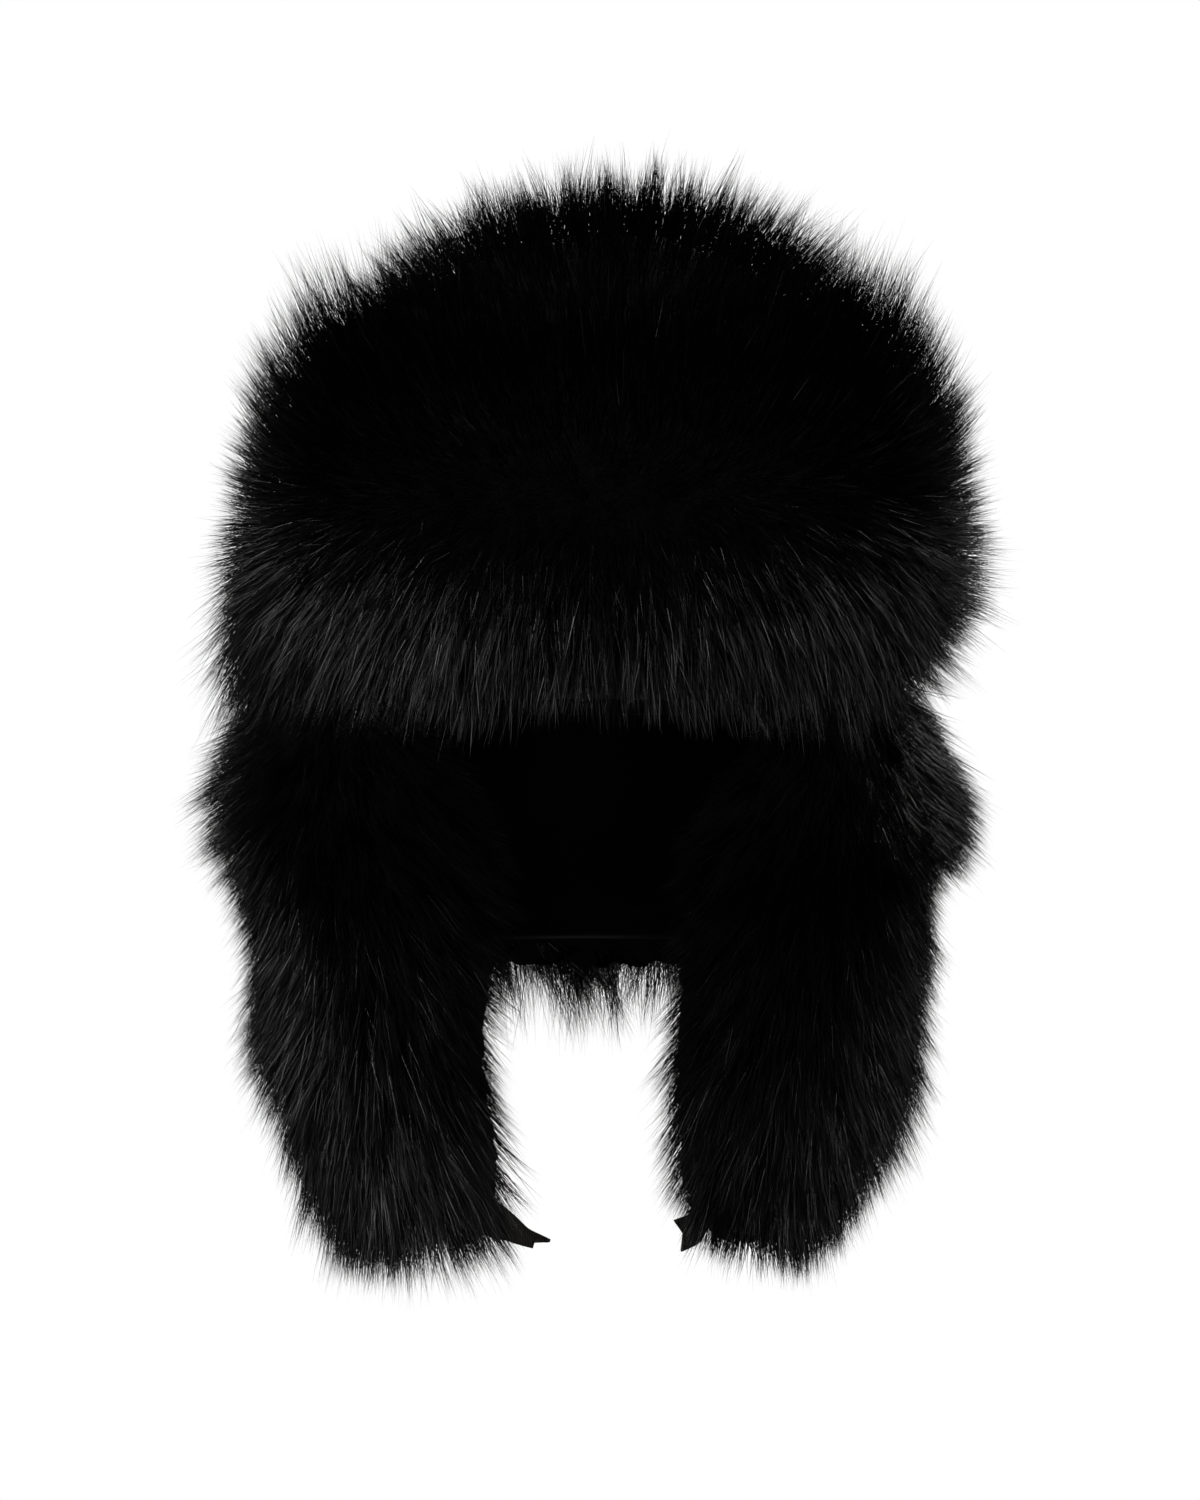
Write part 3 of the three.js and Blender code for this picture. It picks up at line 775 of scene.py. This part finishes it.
    # One hair: a three-sided spike, whose height and spoke are kept before it is bent
    spike = node("GeometryNodeMeshCone", {
        "Vertices": 3, "Side Segments": given["Bends"], "Radius Top": 0.0, "Radius Bottom": 1.0, "Depth": 1.0,
    }, fill_type="NGON")
    spoke = node("ShaderNodeCombineXYZ", {"X": at["X"], "Y": at["Y"]})
    spike = keep(spike, "along", at["Z"], "FLOAT")
    spike = keep(spike, "spoke", vector("NORMALIZE", spoke))
    planted = node("GeometryNodeInstanceOnPoints", {"Points": points, "Instance": spike})
    real = node("GeometryNodeRealizeInstances", {"Geometry": planted})

    t, rootAt, bendAt, tipAt = kept("along", "FLOAT"), kept("rootAt"), kept("bendAt"), kept("tipAt")
    centre = blend(blend(rootAt, bendAt, t), blend(bendAt, tipAt, t), t)
    ahead = vector("SUBTRACT", tipAt, rootAt)
    aside = vector("NORMALIZE", vector("CROSS_PRODUCT", ahead, kept("spin")))
    above = vector("NORMALIZE", vector("CROSS_PRODUCT", aside, ahead))
    spokeAt = partsOf(tree, kept("spoke"))
    thinned = times(number("POWER", t, hairForm["taper"]), 0.5)
    thickness = times(given["Hair Width"], number("SUBTRACT", 0.5, thinned))
    offset = plus(scaled(aside, spokeAt["X"]), scaled(above, spokeAt["Y"]))
    shaped = plus(centre, scaled(offset, thickness))
    shaped = node("GeometryNodeSetPosition", {"Geometry": real, "Position": shaped})

    # Each hair has its own strip of the map, from its root at the bottom to its tip at the top
    strip = times(number("MULTIPLY_ADD", spokeAt["Y"], 0.6, spokeAt["X"]), 0.004)
    mapAt = node("ShaderNodeCombineXYZ", {
        "X": number("ADD", number("MULTIPLY_ADD", kept("tone", "FLOAT"), 0.96, 0.01), strip),
        "Y": number("ADD", number("MULTIPLY_ADD", t, 0.94, 0.03), times(spokeAt["Y"], 0.008)),
    })
    mapped = keep(shaped, "OFBake", mapAt, "FLOAT2", "CORNER")
    # Flat sides, so that a hair glints as one thin line
    hair = node("GeometryNodeSetShadeSmooth", {"Geometry": mapped, "Shade Smooth": False})
    hair = node("GeometryNodeSetMaterial", {"Geometry": hair, "Material": given["Glossy Hair"]})
    # Hairs picked as dull get the copy without glints, painted shade on the crown's top
    dulled = {"Selection": number("GREATER_THAN", kept("dull", "FLOAT"), 0.5), "Material": given["Shaded Dull Hair"]}
    hair = node("GeometryNodeSetMaterial", {"Geometry": hair, **dulled})
    addNode(tree, "NodeGroupOutput", {"Hair": hair})
    return tree


scratchAttributes = (
    "reach", "lift", "back", "cover", "rootAt", "bendAt", "tipAt", "spin", "tone", "dull", "along", "spoke",
)


def growFrom(mesh, name, tree, values):  # what a tree makes of a mesh, as a plain piece
    source = objectFrom(name + "_source", mesh)
    modifier = source.modifiers.new("grow", "NODES")
    modifier.node_group = tree
    for item in tree.interface.items_tree:
        if item.in_out == "INPUT" and item.name in values:
            modifier[item.identifier] = values[item.name]
    result = bpy.data.meshes.new_from_object(source.evaluated_get(bpy.context.evaluated_depsgraph_get()))
    bpy.data.objects.remove(source)
    for attribute in scratchAttributes:
        if attribute in result.attributes:
            result.attributes.remove(result.attributes[attribute])
    result.name = name
    return objectFrom(name, result)


def growHair(tree, fur, kind, number):
    mesh, area = coatMesh(fur)
    return growFrom(mesh, fur["name"] + "_" + kind["name"], tree, {
        **fur,
        **kind,
        "Hair Density": fur[kind["name"]] / area,
        "Lock Pull": kind["Lock Pull"] * fur["lockShare"],
        "Seed": 17 * number,
        "Glossy Hair": glossyFurHair,
        "Shaded Dull Hair": shadedDullFurHair,
    })


hairKinds = tableRows(
    ("name", "Hair Width", "Lock Pull", "Stray Share", "Buried Share", "Bends"),
    ("guard_hair", 0.00033, 0.8, 0.1, 0.3, 2),
    ("fine_hair", 0.00029, 0.85, 0.06, 0.5, 1),
)


def earParts(ear):
    return [partial(part, ear) for part in (earSheet, earPile, earLean, earComb, earCover)]


furs = tableRows(
    ("name", "grid", "sheet", "pile", "lean", "comb", "cover"),
    ("crown_fur", (60, 60), crownSheet, crownPile, crownLean, crownComb, crownCover),
    ("front_flap_fur", (64, 24), frontFurSheet, frontPile, frontLean, frontComb, frontCover),
    ("ear_flap_left_fur", (24, 44), *earParts(leftEar)),
    ("ear_flap_right_fur", (24, 44), *earParts(rightEar)),
    ("neck_flap_fur", (40, 20), neckSheet, neckPile, neckLean, neckComb, neckCover),
)
furHairs = tableRows(  # in the same order: how many hairs, and how they gather
    ("guard_hair", "fine_hair", "Lock Distance", "Lock Spread", "lockShare", "Ruffle", "tipShare"),
    (11800, 20000, 0.0068, 0.36, 1.05, 0.05, 1.28),
    (12500, 22000, 0.006, 0.34, 0.62, 0.15, 1.1),
    (11000, 19000, 0.006, 0.3, 0.7, 0.13, 1.08),
    (11000, 19000, 0.006, 0.3, 0.7, 0.13, 1.08),
    (6000, 10000, 0.0065, 0.34, 0.8, 0.1, 1.1),
)
for fur, hairs in zip(furs, furHairs):
    fur.update(hairs)
hairTree = growHairTree()
for number, fur in enumerate(furs, 1):
    finishPiece(undercoatPiece(fur), fur["name"])
    for kind in hairKinds:
        finishPiece(growHair(hairTree, fur, kind, 2 * number + kind["Bends"]), fur["name"])


# Linings: padded satin shells on the same sheets, sewn down along their seams

satinLook = {
    "grey": 0.0042,
    "roughness": 0.5,
    "roughSpread": 0.16,
    "specular": 0.28,
    "twill": 0.0045,  # metres from line to line of the weave
    "twillDepth": 0.00008,
    "creaseDepth": 0.0007,
}


def satinPaint(tree):
    place, grey, roughSpread = objectPlace(tree), satinLook["grey"], satinLook["roughSpread"]
    shade = noiseOf(tree, {"Vector": place, "Scale": 38, "Detail": 5})
    stretched = vectorCalc(tree, "MULTIPLY", place, (1.0, 1.0, 0.45))
    creases = noiseOf(tree, {"Vector": stretched, "Scale": 16, "Distortion": 1.2})
    creased = bumpOf(tree, creases, 0.5, satinLook["creaseDepth"])
    twill = wavesOf(tree, 0.314 / satinLook["twill"])
    return {
        "Base Color": colourRamp(tree, shade, [(0.3, grey * 0.7, 0.05), (0.7, grey * 1.4, 0.12)]),
        "Roughness": calc(tree, "MULTIPLY_ADD", shade, roughSpread, satinLook["roughness"] - roughSpread / 2),
        "Normal": bumpOf(tree, twill, 0.25, satinLook["twillDepth"], creased),
    }


def threadPaint(tree):
    return {"Base Color": colourRamp(tree, wavesOf(tree, 180), [(0.0, 0.003, 0), (1.0, 0.009, 0.05)])}


blackSatin = newMaterial("blackSatin", satinLook["roughness"], satinLook["specular"], satinPaint)
blackThread = newMaterial("blackThread", 0.5, 0.4, threadPaint)

linings = {
    "wall": 3,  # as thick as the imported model's
    "hem": 9,  # mm from a flap's edge to its seam
    "flapPuff": 0.45,  # the padding's swell between seams; the straps lie just inside it
    "crownPuff": 1.8,
    "gores": 6,
    "bandHeight": 32,  # the sweatband round the rim
    "bandThickness": 1.3,
    "bulge": 0.25,  # how far a hem's edge rounds out
}


def shellMesh(name, outer, inner, columns, rows, closed=False):  # two grids joined round their rims
    count = columns if closed else columns + 1
    offset, points = len(outer), outer + inner
    faces = gridFaces(columns, rows, closed)
    if closed:
        faces.append(tuple(range(rows * count, offset)))
    faces = backToBack(faces, offset)
    loop = list(range(columns)) if closed else gridRim(columns, rows)
    middle = range(len(points), len(points) + len(loop))
    for pair in zip(bandFaces(loop, middle), bandFaces(middle, [corner + offset for corner in loop])):
        faces += pair
    for corner in loop:
        row, column = divmod(corner, count)
        column = column if closed else min(max(column, 1), columns - 1)
        away = (outer[corner] - outer[min(max(row, 1), rows - 1) * count + column]).normalized()
        points.append((outer[corner] + inner[corner]) / 2 + away * linings["bulge"])
    return meshFrom(name, points, faces)


def flapPuff(distance, u, v):  # padding between the hem's seam and the middle of a flap
    seam = bell(distance, linings["hem"], 1.6)
    swell = 0.7 * smooth(distance, linings["hem"], linings["hem"] + 14) + 0.3 * (1 - smooth(distance, 3, 8))
    ripple = 0.18 * math.sin(u * 37 + 5 * math.sin(v * 9)) * math.sin(v * 41)
    return linings["flapPuff"] * (swell + ripple * (1 - seam) - 1.1 * seam)


def flapLining(name, flap):
    (across, upward), (columns, rows) = flap["size"], flap["grid"]
    inner, outer = [], []
    for place in gridPlaces(flap["sheet"], columns, rows, flap["level"]):
        u, v = place.u, place.v
        distance = min(min(u, 1 - u) * across, min(v, 1 - v) * upward)
        inner.append(place.point - place.normal * flapPuff(distance, u, v))
        outer.append(place.point + place.normal * linings["wall"])
    return pieceFrom(name, shellMesh(name, outer, inner, columns, rows), blackSatin)


def crownLining(name):
    columns, rows = 96, 40
    inner, outer = [], []
    for row in range(rows + 1):
        climb = math.pi / 2 * (row / rows) ** 1.15 * 0.999
        for column in range(columns):
            around = 2 * math.pi * column / columns
            point = domePoint(around, climb)
            normal = domeNormal(point)
            seam = abs(math.sin(around * linings["gores"] / 2 + math.pi / 4))
            swell = min(1, seam * 2.2) ** 0.5 * math.cos(climb) ** 0.4 * smooth(point.z, 20, 45)
            pastBand = smooth(point.z, linings["bandHeight"] - 1, linings["bandHeight"] + 1)
            ripple = 0.25 * math.sin(around * 23 + point.z * 0.16)
            ripple *= math.sin(point.z * 0.21 + 3 * math.sin(around * 4))
            puff = linings["crownPuff"] * swell * (1 + ripple) * smooth(point.z, 24, 40)
            puff += linings["bandThickness"] * (1 - pastBand)
            inner.append(point - normal * puff)
            outer.append(point + normal * linings["wall"])
    return pieceFrom(name, shellMesh(name, outer, inner, columns, rows, closed=True), blackSatin)


earSize, earGrid = (115, 190), (36, 56)
flaps = tableRows(
    ("node", "sheet", "size", "grid", "level"),  # size in mm across and up
    ("front_flap", frontSheet, (330, 118), (72, 26), False),
    ("ear_flap_left_lining", partial(earSheet, leftEar), earSize, earGrid, True),
    ("ear_flap_right_lining", partial(earSheet, rightEar), earSize, earGrid, True),
    ("neck_flap_lining", neckSheet, (190, 94), (52, 28), True),
)
liningPieces = {"crown_lining": crownLining("crown_lining_satin")}
for flap in flaps:
    liningPieces[flap["node"]] = flapLining(flap["node"].replace("_lining", "") + "_satin", flap)
for node, piece in liningPieces.items():
    finishPiece(piece, node)


# Stitches: Geometry Nodes lay them along seam lines that lie on the cloth

stitchLook = {
    "Pitch": 0.0034,  # metres from stitch to stitch
    "Length": 0.0025,
    "Thickness": 0.0005,
    "Unevenness": 0.14,
}


def layStitchTree():
    tree, given = newTree("layStitches", {
        "Geometry": ["Seam"],
        "Float": ["Pitch", "Length", "Thickness", "Unevenness"],
        "Int": ["Seed"],
        "Material": ["Thread Material"],
    }, "Stitches")
    node, number, uneven = partial(make, tree), partial(calc, tree), given["Unevenness"]
    line = {"Curve": node("GeometryNodeMeshToCurve", {"Mesh": given["Seam"]}), "Length": given["Pitch"]}
    spots = addNode(tree, "GeometryNodeCurveToPoints", line, mode="LENGTH").outputs
    spread = {2: number("SUBTRACT", 1.0, uneven), 3: number("ADD", 1.0, uneven), "Seed": given["Seed"]}
    spread = addNode(tree, "FunctionNodeRandomValue", spread, data_type="FLOAT").outputs[1]
    thick, length = given["Thickness"], number("MULTIPLY", given["Length"], spread)
    stitches = node("GeometryNodeInstanceOnPoints", {
        "Points": spots["Points"],
        "Instance": node("GeometryNodeMeshIcoSphere", {"Radius": 0.5, "Subdivisions": 1}),
        "Rotation": spots["Rotation"],
        "Scale": node("ShaderNodeCombineXYZ", {"X": thick, "Y": thick, "Z": length}),
    })
    stitches = node("GeometryNodeRealizeInstances", {"Geometry": stitches})
    stitches = node("GeometryNodeSetShadeSmooth", {"Geometry": stitches})
    stitches = node("GeometryNodeSetMaterial", {"Geometry": stitches, "Material": given["Thread Material"]})
    addNode(tree, "NodeGroupOutput", {"Stitches": stitches})
    return tree


stitchTree = layStitchTree()


def layStitches(name, cloth, seams, seed):  # seams are lists of points near the cloth, in mm
    corners = [list(face.vertices) for face in cloth.data.polygons]
    surface = BVHTree.FromPolygons([vertex.co for vertex in cloth.data.vertices], corners)
    points, edges = [], []
    for seam in seams:
        for near in seam:
            spot, normal, _, _ = surface.find_nearest(near * metre)
            if near is not seam[0]:
                edges.append((len(points) - 1, len(points)))
            points.append(spot + normal * (stitchLook["Thickness"] * 0.15))
    mesh = bpy.data.meshes.new(name + "_seam")
    mesh.from_pydata(points, edges, [])
    return growFrom(mesh, name, stitchTree, {**stitchLook, "Seed": seed, "Thread Material": blackThread})


def hemLine(flap, spacing=1.6):  # round a flap, a hem's width inside its edge, on its inner side
    across, upward = flap["size"]
    du, dv = linings["hem"] / across, linings["hem"] / upward
    corners = [(du, dv), (1 - du, dv), (1 - du, 1 - dv), (du, 1 - dv), (du, dv)]
    line = []
    for (u0, v0), (u1, v1) in zip(corners, corners[1:]):
        steps = math.ceil(max(abs(u1 - u0) * across, abs(v1 - v0) * upward) / spacing)
        for step in range(steps):
            u, v = mix(u0, u1, step / steps), mix(v0, v1, step / steps)
            place = placeOn(flap["sheet"], u, v, flap["level"])
            line.append(place.point - place.normal * 1.5)
    return line + line[:1]


def bandLine(height, inside):  # round the crown's lining at a height
    climb = math.asin((height / crownShape["height"]) ** (crownShape["power"] / 2))
    points = [domePoint(math.radians(step), climb) for step in range(361)]
    return [point - domeNormal(point) * inside for point in points]


bandSeams = [bandLine(28.5, 4), bandLine(3, 4)]  # the sweatband's top and the rim
crownStitches = layStitches("crown_lining_stitches", liningPieces["crown_lining"], bandSeams, 3)
finishPiece(crownStitches, "crown_lining")
for seed, flap in enumerate(flaps[1:], 5):  # the front flap's inner face lies against the crown
    node = flap["node"]
    stitches = layStitches(node.replace("_lining", "_stitches"), liningPieces[node], [hemLine(flap)], seed)
    finishPiece(stitches, node)


# Straps of flat webbing, sewn inside the ear flaps' tips

webbingLook = {
    "width": 12,
    "thickness": 1.6,
    "seat": 0.9,  # room between a sewn strap and its lining
    "notch": 3,
    "steps": 60,
    "pick": 0.0011,  # metres from rib to rib
    "yarn": 0.0016,  # metres across the ribs
    "selvedge": 0.16,  # how much thicker the edges are
}


def splineAt(stops, t):  # a smooth curve through points, with even speed over uneven spans
    place = clamp(t) * (len(stops) - 1)
    index = min(math.floor(place), len(stops) - 2)
    t = place - index
    p1, p2 = stops[index], stops[index + 1]
    p0 = stops[index - 1] if index > 0 else p1 * 2 - p2
    p3 = stops[index + 2] if index + 2 < len(stops) else p2 * 2 - p1
    d0, d1, d2 = [max((b - a).length, 1e-6) ** 0.5 for a, b in ((p0, p1), (p1, p2), (p2, p3))]
    start = ((p1 - p0) / d0 - (p2 - p0) / (d0 + d1) + (p2 - p1) / d1) * d1
    end = ((p2 - p1) / d1 - (p3 - p1) / (d1 + d2) + (p3 - p2) / d2) * d1
    square, cubic = p1 * -3 + p2 * 3 - start * 2 - end, p1 * 2 - p2 * 2 + start + end
    return p1 + start * t + square * t**2 + cubic * t**3


def sewnStop(ear, back, v):
    place = placeOn(partial(earSheet, ear), fromFront(ear, back), v)
    inside = webbingLook["seat"] + webbingLook["thickness"] / 2
    return {"centre": place.point - place.normal * inside, "width": place.rise}


def freeStop(x, y, z, width):
    return {"centre": Vector((x, y, z)), "width": Vector(width)}


strapStops = {
    "strap_left": [
        *[sewnStop(leftEar, back, 0.11) for back in (0.8, 0.6, 0.45, 0.3)],
        freeStop(-45.5, -50, -183, (-0.3, -0.2, 1)),
        freeStop(-38.5, -57.5, -190.5, (0, 0.5, 0.9)),
        freeStop(-31, -64, -194.5, (0.1, 0.95, 0.4)),
        freeStop(-22, -69, -197.5, (0, 1, 0.25)),
    ],
    "strap_right": [
        *[sewnStop(rightEar, back, v) for back, v in ((0.8, 0.11), (0.6, 0.1), (0.45, 0.09), (0.3, 0.08))],
        freeStop(39, -52, -188, (0.3, -0.3, 1)),
        freeStop(34, -58, -192.5, (0.05, -0.1, 1)),
        freeStop(27, -65, -195, (-0.1, 0, 1)),
    ],
}


def webbingPaint(tree):
    number = partial(calc, tree)
    parts = partsOf(tree, addNode(tree, "ShaderNodeAttribute", attribute_name="webbingAt").outputs["Vector"])
    across = number("MULTIPLY", parts["X"], 2 * math.pi / webbingLook["yarn"])
    along = number("MULTIPLY", parts["Y"], 2 * math.pi / webbingLook["pick"])
    zigzag = number("SINE", number("ADD", along, number("MULTIPLY", number("SINE", across), 1.6)))
    ribs = number("MULTIPLY_ADD", zigzag, 0.5, 0.5)
    return {
        "Base Color": colourRamp(tree, ribs, [(0.0, 0.026, -0.16), (0.6, 0.06, -0.2), (1.0, 0.11, -0.22)]),
        "Normal": bumpOf(tree, ribs, 0.7, 0.0003),
    }


ribbedWebbing = newMaterial("ribbedWebbing", 0.55, 0.4, webbingPaint)


def strapSection(corners=24):  # a flat strip with thick selvedges, as (aside, above) in mm
    half, thick = webbingLook["width"] / 2, webbingLook["thickness"] / 2
    section = []
    for k in range(corners):
        turn = 2 * math.pi * k / corners
        aside = math.copysign(abs(math.cos(turn)) ** 0.35, math.cos(turn)) * half
        above = math.copysign(abs(math.sin(turn)) ** 0.35, math.sin(turn)) * thick
        selvedge = 1 - webbingLook["selvedge"] * (1 - smooth(abs(aside), half - 2.2, half - 1.2))
        section.append((aside, above * selvedge))
    return section


def strapPiece(name, stops):
    steps, section = webbingLook["steps"], strapSection()
    centres, widths = [stop["centre"] for stop in stops], [stop["width"] for stop in stops]
    points, weave, run, before = [], [], 0, None
    for step in range(steps + 1):
        t = step / steps
        centre = splineAt(centres, t)
        tangent = (splineAt(centres, min(t + 0.002, 1)) - splineAt(centres, max(t - 0.002, 0))).normalized()
        width = splineAt(widths, t)
        width = (width - tangent * width.dot(tangent)).normalized()
        face = width.cross(tangent).normalized()
        run += (centre - before).length if before else 0
        before = centre
        for aside, above in section:
            cut = -webbingLook["notch"] * (1 - abs(aside) / webbingLook["width"] * 2) * smooth(t, 0.9, 1)
            points.append(centre + width * aside + face * above + tangent * cut)
            weave.append((aside * metre, (run + cut) * metre, 0))
    ring, last = len(section), steps * len(section)
    faces = gridFaces(ring, steps, closed=True)
    for k in range(ring // 2):  # ends closed across their thickness
        face = tuple(dict.fromkeys((k + 1, k, (ring - k) % ring, ring - k - 1)))
        faces += [face[::-1], tuple(corner + last for corner in face)]
    mesh = meshFrom(name + "_webbing", points, faces)
    keepOnPoints(mesh, "webbingAt", weave)
    return pieceFrom(name + "_webbing", mesh, ribbedWebbing)


def strapTack(ear):  # a box with a cross, through a strap's sewn end
    corners = []
    for back, aside in ((0.775, -3.6), (0.64, -3.6), (0.64, 3.6), (0.775, 3.6)):
        place = placeOn(partial(earSheet, ear), fromFront(ear, back), 0.107)
        corners.append(place.point - place.normal * 4 + place.rise * aside)
    a, b, c, d = corners
    sides = ((a, b), (b, c), (c, d), (d, a), (a, c), (b, d))
    return [[mix(start, end, step / 8) for step in range(9)] for start, end in sides]


for node, ear in (("strap_left", leftEar), ("strap_right", rightEar)):
    strap = strapPiece(node, strapStops[node])
    finishPiece(strap, node)
    finishPiece(layStitches(node + "_tack", strap, strapTack(ear), 11), node)


# Camera, light and backdrop

view = {
    "lens": 120,
    "frameHeight": 0.5475,  # metres seen from top to bottom at the hat
    "plane": -0.04,  # the depth at which that is so
    "centre": (-0.0011, -0.0201),
}


def aim(thing, target):
    thing.rotation_mode = "QUATERNION"
    thing.rotation_quaternion = (Vector(target) - thing.location).to_track_quat("-Z", "Y")


cameraData = bpy.data.cameras.new("photoCamera")
cameraData.lens = view["lens"]
camera = objectFrom("photoCamera", cameraData)
distance = view["frameHeight"] * view["lens"] / cameraData.sensor_width
x, z = view["centre"]
camera.location = (x, view["plane"] - distance, z)
aim(camera, (x, view["plane"], z))
bpy.context.scene.camera = camera


def softbox(name, location, target, size, watts):
    light = bpy.data.lights.new(name, "AREA")
    light.shape = "RECTANGLE"
    light.size, light.size_y = size
    light.energy = watts
    lamp = objectFrom(name, light)
    lamp.location = location
    aim(lamp, target)


softbox("keySoftbox", (-0.75, -1.25, 1.7), (0, 0, -0.02), (0.9, 0.7), 19.5)
softbox("topSoftbox", (0.25, -1.3, 1.9), (0, 0, 0), (1.0, 0.8), 6)
softbox("leftSoftbox", (-1.9, -1.0, -0.1), (0, 0, -0.06), (0.7, 1.0), 8)
softbox("rightSoftbox", (1.3, -1.5, 0.8), (0, 0, -0.05), (0.7, 0.7), 9.5)
softbox("backSoftbox", (0.5, 1.7, 1.2), (0, 0, -0.05), (1.0, 0.8), 20)
softbox("lowSoftbox", (0.3, -0.7, -1.4), (0, 0, 0), (1.0, 1.0), 2)  # reaches into the hat

world = bpy.data.worlds.new("paleStudio")
bpy.context.scene.world = world
world.use_nodes = True
sky = world.node_tree
seen = make(sky, "ShaderNodeLightPath")  # camera rays: white behind the hat, dim as light on it
brightness = calc(sky, "MULTIPLY_ADD", seen, 0.97, 0.03)
plugIn(sky, sky.nodes["Background"], {"Color": (1, 1, 1, 1), "Strength": brightness})
bpy.context.scene.view_settings.view_transform = "Standard"


def paperPaint(tree):
    paper = noiseOf(tree, {"Vector": objectPlace(tree), "Scale": 2.0})
    return {
        "Base Color": colourRamp(tree, paper, [(0.3, 0.1, 0), (0.7, 0.12, 0)]),
        "Emission Color": (1, 1, 1, 1),
        "Emission Strength": make(tree, "ShaderNodeLightPath"),  # only camera rays see its glow
    }


floor = {"half": 9000, "level": -2600}  # far enough below for views from underneath
corners = ((-1, -1), (1, -1), (1, 1), (-1, 1))
corners = [Vector((x * floor["half"], y * floor["half"], floor["level"])) for x, y in corners]
paper = newMaterial("palePaper", 0.9, 0.1, paperPaint)
pieceFrom("pale_floor", meshFrom("pale_floor", corners, [(0, 1, 2, 3)]), paper)
print("ushanka: studio made")
